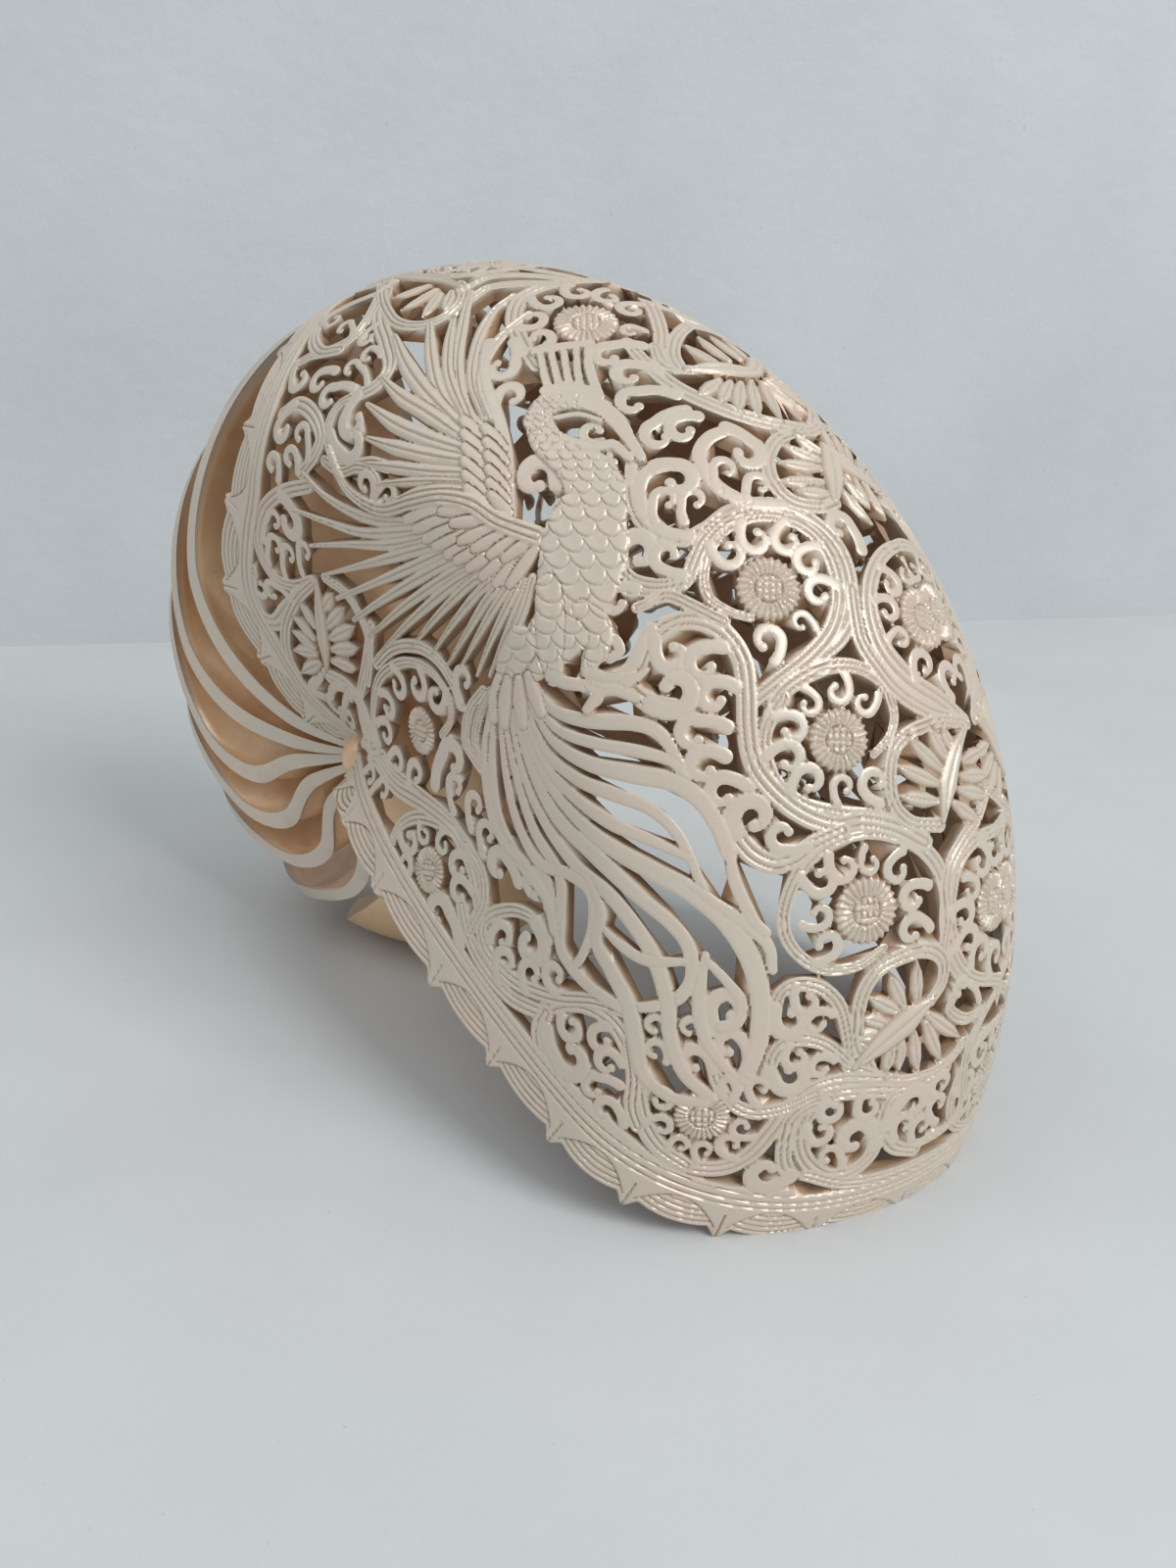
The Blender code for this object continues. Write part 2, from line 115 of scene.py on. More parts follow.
# Sunflowers: petals, the seed head and the start and width of the rim as shares of the disc, the pitch of
# the seeds, and the sizes and widths of the curls around
SUNFLOWER_PETALS = 26
HEART = 0.45
RIM_START = 0.8
RIM_WIDTH = 0.2
SEED_PITCH = 7.2
EYE_SIZES = (1.25, 1.9)
EYE_WIDTH = 0.82

# Medallions along the keel, where the photograph doesn't look: spiral angle, then radii of ring and disc
MEDALLIONS = ((-13.4, 8.6, 3.4), (83.0, 8.8, 3.6), (95.8, 7.8, 3.0))
MEDALLION_CURLS = 8

# The bird's scales: where their rows start and stop down the photograph, how wide a scale is at some heights,
# the step between rows as a share of that, and how the columns lean from a height
SCALES_FROM = 395.0
SCALES_TO = 730
SCALE_HEIGHTS = (400, 450, 520, 590, 650, 690, 730)
SCALE_WIDTHS = (8, 13, 24, 28, 24, 16, 13)
SCALE_STEP = 0.62
SCALE_LEAN = 0.25
SCALE_LEAN_FROM = 480

# The bands along both edges: girths of the teeth, then millimetres of the band, its lines, a tooth, a
# scallop, the lens under it and its arcs, and shares of the pitch that scallop and tooth take each side
LIP_TEETH = (16, 0, -18.5, -37.5, -54.5, -72.5, -92.5, -107, -121, -139, -157, -172)
SEPTAL_TEETH = (13, -13, -39.5, -66.5, -88.5, -104, -121, -137.5, -152, -166, -176)
EDGE_GIRTHS = np.linspace(0.0, -172.0, 260)
EDGE_REACH = 9.0
EDGE_KNOWN = 8.9
EDGE_MARGIN = 2.5
BAND = 7.0
BAND_LINES = (4.5, 5.6)
TOOTH = 2.3
TOOTH_LINE = 2.6
TOOTH_SHARE = 0.15
SCALLOP = 1.1
SCALLOP_SHARE = 0.44
BETWEEN_SCALLOPS = -0.25
LENS = 3.7
LENS_LEVEL = -0.14
ARCS = 5
ARC_STEP = 1.0

# Stems: kind, widths in millimetres, then pixels of the photograph
STEMS = """\
stem 2.6 3.2 3.4 3.2 2.4 | 548,372 532,348 524,325 532,303 560,290 600,285 640,292 664,310 674,335 \
676,356 690,376
stem 2.4 3.2 3.4 3.2 2.6 | 640,348 660,370 690,394 730,413 775,428 815,436 848,440
stem 2.0 3.0 2.8 2.0 | 668,352 678,370 700,376 716,376
stem 2.2 2.8 3.2 3.2 | 645,466 644,490 646,512 656,532 676,545 700,549 722,540 745,523 775,515
stem 3.0 3.4 3.2 3.0 | 722,540 745,524 775,515 808,520 838,538 858,562 868,592 869,625 858,650 838,668
stem 2.6 3.2 3.2 2.6 1.9 1.6 | 760,722 790,698 828,668 850,640 857,605 848,568 828,542 800,528 770,526 \
742,538 724,562 718,590 724,610 745,624 766,630
stem 2.2 2.6 2.2 | 640,603 680,602 700,592 706,578 718,552 738,532 760,524
stem 2.2 2.6 2.2 | 700,592 670,597 645,591 630,572
stem 2.4 3.0 2.6 2.0 1.5 | 782,742 796,710 825,688 852,679 880,682 903,700 913,728 908,752 892,770
stem 3.0 3.2 2.6 2.4 | 930,852 900,836 860,832 825,824 798,806 783,778 782,745 800,712
stem 3.0 3.6 4.2 3.4 3.0 2.2 1.8 | 986,736 960,714 930,694 906,668 893,640 888,610 892,583 904,563 \
922,556 942,568
stem 2.6 3.0 3.0 2.8 | 870,600 874,630 880,655 896,680 918,706 950,726 984,736
stem 3.0 3.2 3.0 2.6 2.2 1.8 | 986,1002 970,975 966,940 966,910 955,880 930,858 890,848 852,858 822,882 \
804,916 800,948 814,974 842,990 876,986 902,968
stem 3.4 3.6 3.6 3.2 | 945,860 915,845 880,838 850,842 815,828 785,802 768,775 763,740 762,705 757,672 \
738,645 712,633 685,636 662,655 650,680
stem 3.0 3.4 3.6 3.2 | 860,848 830,862 812,876 790,882 768,872 752,852 746,832
stem 2.4 2.8 2.8 2.4 | 1020,1000 995,998 978,978 971,945 972,910 980,880 996,858 1018,846
stem 2.6 3.0 2.6 | 962,975 968,940 966,905 972,880 985,855 998,835 1010,800
stem 2.2 2.6 3.0 2.8 | 840,440 812,440 792,450 784,470 790,492 808,510 834,516 852,512
stem 2.2 2.6 2.6 2.6 | 988,738 960,736 932,746 914,764 909,795 914,822 932,840 960,842
stem 2.0 2.4 2.6 2.6 | 718,330 702,332 690,344 687,360 694,374
stem 2.6 3.0 2.8 2.6 | 950,1022 962,1002 963,980 948,970 925,975 900,988 884,1008 876,1035 876,1065 \
888,1092
stem 2.2 2.6 2.4 | 866,1090 890,1098 918,1104 945,1098 966,1086 984,1064
stem 2.2 2.4 2.4 2.2 | 1024,1000 1004,1036 990,1066 984,1095 982,1125 968,1148 944,1164 920,1172
stem 2.0 2.4 2.2 | 978,1010 970,1030 985,1040 1004,1030
stem 1.8 2.2 2.2 | 1018,1010 1022,1050 1016,1090 1010,1110
stem 2.0 2.4 2.6 2.6 2.2 | 868,1084 864,1050 856,1025 838,1009 815,1005 797,1014 789,1034
stem 2.0 2.6 2.8 2.6 | 866,1085 848,1070 828,1062 808,1063 792,1074 785,1092
stem 3.2 3.6 3.4 3.0 2.6 | 900,1104 860,1104 828,1114 803,1134 786,1156 764,1180 735,1193 700,1190 \
672,1174 656,1150 652,1122 662,1106
stem 2.6 3.2 3.0 | 966,1092 930,1112 890,1114 855,1118 830,1134
stem 2.0 2.8 3.2 3.4 3.2 | 850,1116 828,1136 817,1160 822,1184 842,1200 868,1197 888,1180 896,1160
stem 2.4 2.8 3.2 | 846,1122 822,1132 806,1146 801,1165 800,1185 806,1202
stem 2.6 3.0 2.6 | 940,1112 912,1122 903,1140 903,1158 914,1172 934,1175
stem 2.6 2.8 2.4 | 832,1118 800,1132 768,1136 744,1124 732,1104 728,1084
stem 2.8 3.2 3.2 2.8 | 550,1032 575,1025 600,1028 624,1044 640,1070 648,1100 655,1140 672,1170 700,1190
stem 2.4 2.8 3.0 2.6 2.2 | 640,1034 605,1022 565,1018 528,1004 502,980 490,952 499,934 524,929 546,940 \
558,960
stem 2.8 3.0 3.0 | 556,1036 520,1018 492,985 476,952 470,925
stem 3.0 3.4 3.6 3.2 | 556,1034 549,1050 553,1075 568,1092
stem 2.0 2.6 3.0 2.6 | 640,1062 646,1100 644,1130 650,1150
stem 2.2 2.4 2.4 2.0 1.6 | 484,905 478,866 458,846 430,834 410,840 398,862 396,890 406,908 424,916
stem 2.0 2.6 2.8 2.4 2.0 1.5 | 480,868 456,834 425,808 398,785 384,755 380,720 388,690 412,676 438,685 \
456,710 459,735 450,750
stem 2.4 2.8 3.0 2.8 | 378,640 372,680 366,720 376,760 400,800 432,822 462,848 480,885 488,925
stem 2.2 2.4 2.2 | 383,678 400,662 424,660 444,672 460,695 470,720
stem 2.4 2.6 2.6 | 474,862 490,890 492,920 478,950
stem 1.8 2.2 2.4 | 492,705 478,725 474,755 484,775 495,790
stem 1.6 2.2 2.0 | 500,705 490,725 484,755 492,780
stem 2.6 3.0 3.0 2.6 | 394,296 386,322 393,348 397,372 384,392 362,404
stem 2.0 2.6 2.6 2.2 | 388,298 374,325 356,346 336,357 318,362 303,370
stem 2.0 2.4 2.6 2.4 | 380,300 352,312 330,326 319,345 326,358 346,356
stem 1.8 2.0 2.0 | 365,402 346,412 335,430 334,452 342,468 358,475
stem 2.0 2.6 3.0 3.0 2.6 | 306,484 320,464 326,444 318,422 303,412 287,422
stem 2.0 2.4 2.0 | 330,470 342,478 360,476 378,472 395,477
stem 2.4 2.6 2.4 1.8 | 313,496 286,503 268,520 262,546 267,570 281,591 300,598 318,592
stem 1.6 2.0 2.0 | 340,474 348,482 362,477 376,481 384,494 380,508
stem 2.4 3.0 3.2 2.6 | 257,582 257,606 266,628 280,636 292,622 306,604
stem 1.8 2.2 2.4 2.2 | 318,596 302,612 291,638 292,665 304,692
stem 1.8 2.2 2.4 2.4 | 330,590 352,606 368,632 376,660 374,695
stem 1.8 2.2 2.4 2.2 | 388,290 391,310 404,328 430,331 456,320 472,302 468,288
stem 1.8 2.4 2.4 2.4 2.0 | 385,298 420,276 470,270 520,271 560,277 600,285
stem 2.0 2.4 2.2 | 470,296 500,282 540,280 590,286
stem 2.4 2.8 2.4 | 478,306 500,292 540,288 580,290
stem 2.4 2.8 2.8 2.4 | 690,312 740,350 790,388 840,436
stem 2.0 2.4 2.4 | 860,450 900,505 935,555
stem 2.0 2.4 2.4 | 650,620 680,608 706,618 738,634
plain 2.2 2.4 2.2 1.8 | 664,640 652,664 640,684 620,692 601,686 600,668 612,653 626,652 632,664 622,672
stem 3.0 3.4 3.0 | 640,700 660,716 690,722
stem 3.4 3.6 3.0 2.6 | 334,690 352,700 366,716 376,742 384,770
plain 1.8 2.2 2.0 | 326,690 318,704 330,712
plain 2.2 2.6 2.6 2.4 | 800,515 765,512 738,500 720,482 714,462 724,446 745,437
plain 2.2 2.6 2.6 2.4 | 705,547 680,543 660,528 652,505 656,486 672,473
stem 2.4 3.0 3.0 2.4 | 822,1200 860,1208 900,1202 940,1186 972,1166 996,1140
plain 2.0 2.4 2.6 2.6 2.6 2.4 2.0 | 464,964 496,1011 540,1067 584,1115 636,1163 683,1198 742,1216 806,1219"""
# Curls: hand and size, then pairs of pixels, where each starts and the eye it winds round
CURLS = """\
+ 2.3 | 655,352>620,362 672,376>641,381 690,402>646,410 700,418>672,444 712,424>697,437 880,560>857,537
- 2.6 | 742,436>762,462
- 1.9 | 733,500>740,478 763,510>775,494 668,532>679,510 698,532>708,510
- 2.6 | 668,476>692,489
- 2.8 | 633,574>651,563
- 2.2 | 697,586>681,567
+ 2.2 | 648,600>628,613
- 1.9 | 624,452>606,441
+ 1.9 | 642,492>630,466
- 2.2 | 505,425>521,404 524,348>511,374
+ 2.9 | 568,492>548,487
+ 2.4 | 668,652>686,668 738,660>718,678 750,700>729,711 742,742>707,750 740,772>718,782 764,804>738,809
+ 3.0 | 664,720>688,705
- 2.8 | 750,850>768,834
- 2.2 | 824,864>799,853
+ 2.6 | 790,1030>808,1042 785,1095>808,1099
+ 1.9 | 812,1008>824,1023 850,1035>835,1044 806,1068>813,1080 852,1082>838,1090
+ 3.0 | 893,1170>873,1163
+ 2.0 | 842,1124>849,1134 824,1150>838,1157 880,1118>887,1131
+ 1.8 | 859,1192>846,1181
- 2.8 | 904,1150>933,1127
- 2.0 | 913,1164>923,1148 930,1164>941,1149 955,1146>957,1128 955,1120>961,1107
- 2.6 | 730,1052>742,1030
+ 2.2 | 764,1078>744,1068 728,1092>708,1084
+ 1.7 | 680,1084>668,1073 682,1060>668,1048 716,1064>704,1050
- 1.8 | 742,1126>748,1109 774,1130>775,1111
- 2.8 | 806,1200>782,1199
- 2.8 | 546,942>541,964
- 2.0 | 498,960>512,956 507,1002>515,982 536,1012>541,994 566,1014>565,996
+ 2.0 | 572,1036>582,1049 620,1048>613,1062 634,1086>619,1085 632,1108>605,1110 636,1148>618,1134
+ 3.0 | 556,1052>582,1080
+ 2.6 | 468,962>446,932 560,926>546,906
- 2.6 | 443,800>461,776
- 1.9 | 462,828>464,803 480,846>484,822 492,872>496,851
+ 2.4 | 528,900>508,884
- 1.7 | 350,765>362,774 362,800>377,792 374,815>390,806 352,740>358,736
+ 2.4 | 364,404>360,430 336,444>357,452
+ 1.9 | 302,370>305,386 342,378>325,389 360,396>334,406
+ 2.0 | 300,412>288,438
+ 1.7 | 313,470>306,443 283,490>277,474 303,482>295,468
+ 1.5 | 384,330>374,344 388,362>375,362 374,392>357,376 330,322>340,326 358,342>350,334
- 2.4 | 286,506>294,534
- 1.6 | 268,552>279,532 274,576>280,557 291,590>294,567 308,586>310,564
+ 1.6 | 258,590>265,600 296,612>277,604
+ 1.8 | 380,508>372,494
- 1.6 | 386,500>395,504
- 1.9 | 468,720>472,694
- 1.8 | 985,1120>997,1108
+ 1.7 | 1000,1022>980,1010
+ 1.9 | 352,702>343,722 364,716>356,736"""
# Sunflowers: hand and size of the disc, its centre, then the eyes of the curls about it
SUNFLOWERS = """\
+ 5.5 | 785,600 | 745,563 771,549 804,551 826,573 837,604 818,635 783,654
- 5.3 | 857,755 | 826,719 856,705 883,717 808,744 805,774 826,797 861,803 893,799
+ 5.7 | 885,930 | 839,898 862,885 889,881 917,888 933,917 932,950 836,935 843,965
- 5.4 | 943,630 | 910,596 907,622 920,652 943,678 970,690 925,585 940,590
- 5.0 | 1015,920 | 1003,880 992,908 985,935 990,960 1002,970 1016,975 1015,868
+ 5.4 | 598,328 | 560,306 590,297 620,302 543,325 550,345 645,315 643,337
- 4.6 | 716,1140 | 674,1123 675,1150 694,1169 718,1175 745,1169 757,1152
- 4.0 | 429,746 | 405,700 425,700 444,712 395,722 393,748 404,778 423,790
+ 3.9 | 437,888 | 417,858 432,852 451,862 467,885 468,910 412,882"""
# Lotus buds, and their petals from root to tip
BUDS = """\
vein 1.2 3.8 3.6 0.8 | 700,377 730,374 762,378 782,381
vein 1.6 5.0 4.4 0.8 | 853,510 852,486 848,460 842,438
vein 1.2 4.6 3.4 0.8 | 963,838 969,800 977,765 988,736
vein 1.2 4.8 6.0 1.4 | 872,1090 902,1064 928,1042 952,1020
vein 1.0 3.6 3.2 0.8 | 333,684 328,650 322,592
vein 1.2 3.2 3.2 0.8 | 470,292 448,284 415,281 398,281"""
PETALS = """\
735,386>712,404 746,388>735,411 757,389>754,420 768,388>776,425 778,384>800,430 786,384>824,434
735,370>698,350 745,366>712,342 756,366>730,342 765,368>744,350 774,374>758,358
840,460>808,440 838,468>797,452 838,476>792,470 840,490>792,490 846,502>812,500
862,500>892,535 866,492>898,522 866,484>896,505 862,470>880,486 858,460>868,474
958,818>918,812 960,800>914,780 964,786>926,750 968,774>948,740 974,762>962,742
976,820>1002,838 982,806>1010,812 984,792>1010,790 986,776>1004,766
924,1028>908,994 938,1024>937,980 918,1034>886,1018 906,1046>880,1040 900,1056>876,1062
948,1036>982,1060 946,1046>962,1084 934,1056>938,1096 922,1064>918,1094 912,1070>904,1098
319,640>304,614 318,652>297,628 318,662>297,644 320,668>298,664 324,678>306,688
328,622>338,606 332,640>350,620 336,652>360,640 338,664>364,662 338,676>362,684
436,290>400,303 444,294>408,316 448,298>430,322 460,296>452,316"""
# The bird: long feathers from tip to root, short ones, tail plumes, then the body, legs and crest
FEATHERS = """\
feather 1.4 2.4 2.4 2.0 | 480,297 472,328 466,372 474,415 492,440
feather 1.2 2.2 2.2 1.8 | 524,300 502,318 486,350 481,388 494,425
feather 1.2 2.2 2.2 1.8 | 540,318 515,338 496,364 491,392 502,425
feather 1.4 2.6 2.8 2.0 | 438,330 439,362 447,397 468,430
feather 1.2 2.4 2.4 1.8 | 462,325 457,352 458,385 476,428
feather 1.2 3.2 3.4 2.2 | 402,342 414,372 436,402 474,440
feather 1.0 3.0 3.2 2.2 | 388,384 408,404 434,420 472,446
feather 1.0 3.0 3.2 2.2 | 374,412 402,432 434,446 472,458
feather 1.0 2.8 3.0 2.2 | 374,447 402,456 436,464 474,470
feather 0.8 2.4 2.6 2.0 | 372,473 405,477 440,481 474,482
feather 0.6 1.6 1.8 1.4 | 385,494 410,492 440,491 474,492
feather 0.8 1.8 2.1 1.9 | 400,512 425,502 450,499 474,500
feather 0.8 1.6 2.1 2.1 1.9 | 308,482 330,506 365,526 400,533 445,530
feather 0.8 1.6 2.2 2.1 | 298,520 330,532 370,544 420,542 462,536
feather 0.8 1.3 2.1 1.9 | 316,557 350,556 400,556 448,545
feather 0.6 1.3 2.2 1.9 | 328,587 358,580 402,568 456,553
feather 1.0 1.4 2.1 1.8 | 343,611 370,600 412,582 460,560
feather 1.0 1.6 2.2 1.8 | 360,633 390,612 430,588 474,565
feather 0.8 1.6 2.1 1.8 | 376,650 410,620 450,592 484,572
feather 0.6 1.4 2.1 1.8 | 383,670 420,632 460,598 494,578
feather 0.6 1.4 1.9 1.8 | 420,660 444,630 476,598 502,582
feather 0.6 1.3 1.9 1.8 | 440,668 460,638 486,606 510,586
feather 0.6 1.3 1.9 1.8 | 455,680 474,648 496,612 516,590
feather 0.6 1.3 1.9 1.8 | 470,680 487,648 506,616 523,592
feather 0.6 1.3 1.9 1.8 | 486,690 499,656 515,622 530,592
feather 0.8 1.6 2.1 1.8 | 499,690 511,660 525,626 538,594
feather 0.8 1.9 2.2 1.9 | 508,680 522,650 534,620 543,590
plain 1.8 2.0 2.2 2.0 2.4 | 523,538 519,505 517,462 508,425 497,395 494,372 498,350"""
COVERTS = """\
472,428>494,450 473,442>496,466 474,456>497,480 473,470>497,494 474,484>498,508 476,498>500,520
494,436>514,458 496,450>515,472 497,464>516,486 498,478>516,500 499,492>517,512 501,505>519,524
414,530>446,520 424,540>462,527 434,550>476,534 444,558>490,540 456,566>502,546 466,572>512,550
450,522>486,520 462,534>500,530
478,580>522,554 492,588>532,556 506,595>540,558 520,596>546,560
470,552>504,538 484,560>516,544 500,566>528,548 515,570>540,552"""
TAIL = """\
plain 1.6 2.4 2.8 2.4 1.8 | 548,704 564,724 596,735 646,738 672,748 688,770 697,792
plain 1.4 2.0 2.2 1.6 | 544,712 568,744 608,759 652,767 686,778 702,800
plain 1.2 2.4 3.2 3.2 2.6 | 540,716 564,756 600,779 645,790 686,798 714,816 732,842 744,872
plain 1.2 2.2 2.6 2.0 1.6 | 536,720 558,768 590,796 630,812 664,826 690,850 706,880 716,905
plain 1.2 2.2 2.6 1.4 | 532,722 552,774 582,810 620,838 660,856 704,876
plain 1.2 2.2 3.2 3.6 3.6 3.2 | 528,724 548,780 578,824 616,860 664,888 708,912 744,944 768,984 \
776,1024 774,1064 762,1096
plain 1.2 2.2 3.0 3.2 2.6 2.4 2.4 1.8 | 524,726 542,784 568,834 606,872 648,912 684,942 702,966 706,998 \
690,1020 664,1028 640,1028
plain 1.2 2.2 2.8 2.8 2.2 | 520,728 534,790 556,840 586,882 620,912 648,946 668,980 680,1020 684,1060 \
698,1096 724,1120
plain 1.2 2.0 2.4 2.4 2.4 2.2 | 514,730 526,790 544,846 570,892 572,930 572,968 592,998 616,1018 \
644,1034
plain 1.2 2.0 2.4 2.0 1.6 | 510,730 516,790 528,840 550,880 580,892 602,912 604,945 594,975 582,990
plain 1.2 2.2 2.6 2.4 2.2 | 504,728 502,780 508,832 528,876 556,915 566,950
plain 1.2 2.0 2.4 2.2 | 500,724 494,770 499,820 512,856 536,882
plain 1.0 2.0 2.2 1.2 | 612,944 632,964 660,980 702,982
plain 1.6 2.4 3.0 3.2 2.4 2.0 | 600,896 612,930 608,962 624,992 640,1024 648,1060 656,1096 684,1120 \
720,1126
plain 1.4 2.0 2.4 1.8 | 700,900 730,922 762,944 784,966 788,990
plain 1.6 2.2 2.4 1.8 | 744,868 750,900 768,938 782,952
plain 1.4 2.4 2.4 2.0 1.6 | 720,975 714,1008 714,1040 724,1068 748,1098 760,1104
plain 1.4 2.0 2.2 | 722,982 742,1002 757,1024 752,1044 736,1048
plain 1.2 2.0 2.0 | 742,1098 752,1110 748,1122"""
BODY = """\
stem 1.4 2.0 2.4 2.6 2.9 3.2 | 336,458 346,484 362,506 390,520 420,513 450,508 480,514 508,532 548,547
scales 4.6 5.9 8.4 11.4 15.0 14.4 12.2 9.0 6.0 | 549,425 558,450 588,472 606,500 598,540 591,580 \
583,620 560,655 530,686
scales 5.0 6.0 5.6 3.6 | 560,600 562,635 562,665 566,690
scales 3.6 4.4 4.0 2.6 | 594,622 612,640 610,662 600,682
scales 7.0 7.0 5.6 | 532,660 521,684 520,700
covert 2.4 3.6 2.6 | 510,692 506,710 504,732
covert 2.4 3.6 2.6 | 540,690 545,706 552,726
covert 2.4 3.8 2.6 | 519,694 516,714 515,738
covert 2.4 3.8 2.6 | 530,694 531,714 534,738
scales 4.2 4.8 4.4 3.4 | 546,430 558,414 580,408 604,412
plain 3.2 3.2 2.8 2.2 1.8 | 600,412 618,420 632,434 644,452 654,468
plain 1.0 1.0 | 566,428 590,424 612,430
plain 1.2 1.6 1.2 | 574,410 579,408 584,411
plain 1.4 2.0 2.0 1.6 | 588,452 606,458 626,455 642,468
plain 2.4 2.2 2.2 1.8 | 566,690 580,697 612,700 640,698
plain 2.2 2.0 1.6 | 600,686 622,692 644,690
plain 1.8 1.6 1.0 | 640,698 652,690 660,684
plain 1.4 1.8 1.4 | 600,700 612,712 600,722
plain 1.8 2.2 1.8 | 600,724 614,706 628,704 648,712
plain 1.3 1.4 1.6 | 551,360 556,384 562,402
plain 1.3 1.4 1.6 | 562,360 568,384 573,400
plain 1.3 1.4 1.6 | 575,360 579,384 583,400
plain 1.3 1.4 1.6 | 588,358 590,384 594,402
plain 1.6 1.8 1.6 | 600,352 602,380 612,406
plain 1.8 2.0 1.8 | 546,360 570,356 602,352
plain 1.8 2.2 1.8 | 556,400 580,396 610,402"""


def eased(value, power):
    """A power of the value that keeps its sign and has no kink at zero."""
    return value * ((value**2 + EASE**2) / (1 + EASE**2)) ** ((power - 1) / 2)


def section(girth):
    """Radius and sideways place of the whorl's outline, as shares of the spiral's radius."""
    turn = np.radians(np.abs(girth))
    across, up = np.sin(turn), np.cos(turn)
    outer = up > 0
    radius = np.where(
        outer,
        WIDEST_AT + (1 - WIDEST_AT) * eased(up, OUTER_POWER),
        WIDEST_AT + (WIDEST_AT - UMBILICUS_RADIUS) * eased(up, INNER_POWER),
    )
    side = np.where(
        outer,
        HALF_WIDTH * eased(across, OUTER_POWER),
        UMBILICUS_DEPTH + (HALF_WIDTH - UMBILICUS_DEPTH) * eased(across, FLANK_POWER),
    )
    return radius, side * np.sign(girth)


def spiral(angle):
    """Radius of the keel at a spiral angle."""
    return KEEL_RADIUS * np.exp(-GROWTH * np.radians(angle))


def surface(angle, girth, scale=1.0):
    """Points on the whorl's surface; girth is negative on the near flank."""
    angle, girth = np.broadcast_arrays(np.asarray(angle, float), np.asarray(girth, float))
    radius, side = section(girth)
    size = spiral(angle) * scale
    turn = np.radians(angle)
    reach = size * radius
    return np.stack([reach * np.cos(turn), size * side, reach * np.sin(turn)], -1) + AXIS_PLACE


def normals(angle, girth):
    """Outward unit normals of the whorl's surface."""
    step = 0.05
    along = surface(angle + step, girth) - surface(angle - step, girth)
    round_it = surface(angle, girth + step) - surface(angle, girth - step)
    normal = np.cross(round_it, along)
    return normal / np.linalg.norm(normal, axis=-1, keepdims=True)


def smooth_table(knots, values, at):
    """Values between the knots on a smooth curve that sets out nearly flat."""
    knots, values = np.asarray(knots, float), np.asarray(values, float)
    slope = np.diff(values) / np.diff(knots)
    tangent = np.concatenate([[slope[0] * FLAT_START], (slope[1:] + slope[:-1]) / 2, [slope[-1]]])
    place = np.clip(np.searchsorted(knots, at, side="right") - 1, 0, len(slope) - 1)
    width = knots[place + 1] - knots[place]
    t = np.clip((at - knots[place]) / width, 0, 1)
    low, high = values[place], values[place + 1]
    return (
        (2 * t**3 - 3 * t**2 + 1) * low
        + (t**3 - 2 * t**2 + t) * width * tangent[place]
        + (3 * t**2 - 2 * t**3) * high
        + (t**3 - t**2) * width * tangent[place + 1]
    )


def lip_angle(girth):
    """Spiral angle of the lip."""
    turn = np.radians(girth)
    return sum(part * np.cos(n * turn) for n, part in enumerate(LIP_WAVE))


def septal_edge_angle(girth):
    """Spiral angle where the openwork stops and the septa begin."""
    knots, values = zip(*SEPTAL_EDGE)
    return smooth_table(knots, values, np.abs(girth))


def camera_axes():
    """The camera's right, up and backward directions."""
    azimuth, elevation, roll = np.radians(CAMERA_TURN)
    back = np.array([
        math.sin(azimuth) * math.cos(elevation),
        -math.cos(azimuth) * math.cos(elevation),
        math.sin(elevation),
    ])
    level = np.array([math.cos(azimuth), math.sin(azimuth), 0.0])
    rise = np.cross(back, level)
    right = math.cos(roll) * level + math.sin(roll) * rise
    up = -math.sin(roll) * level + math.cos(roll) * rise
    return right, up, back


CAMERA_RIGHT, CAMERA_UP, CAMERA_BACK = camera_axes()
CAMERA_PLACE = AXIS_PLACE + CAMERA_AIM + CAMERA_DISTANCE * CAMERA_BACK


def to_pixels(points):
    """Where points in millimetres fall in the photograph."""
    seen = points - CAMERA_PLACE
    depth = -(seen @ CAMERA_BACK)
    across = PHOTO[0] / 2 + FOCAL_PIXELS * (seen @ CAMERA_RIGHT) / depth
    down = PHOTO[1] / 2 - FOCAL_PIXELS * (seen @ CAMERA_UP) / depth
    return np.stack([across, down], -1)


def nearness(places):
    """How much nearer to the camera some places are than its aim; drawn sizes are taken at the aim."""
    points = surface(places[:, 0], places[:, 1])
    return float(np.mean((CAMERA_PLACE - points) @ CAMERA_BACK) / CAMERA_DISTANCE)


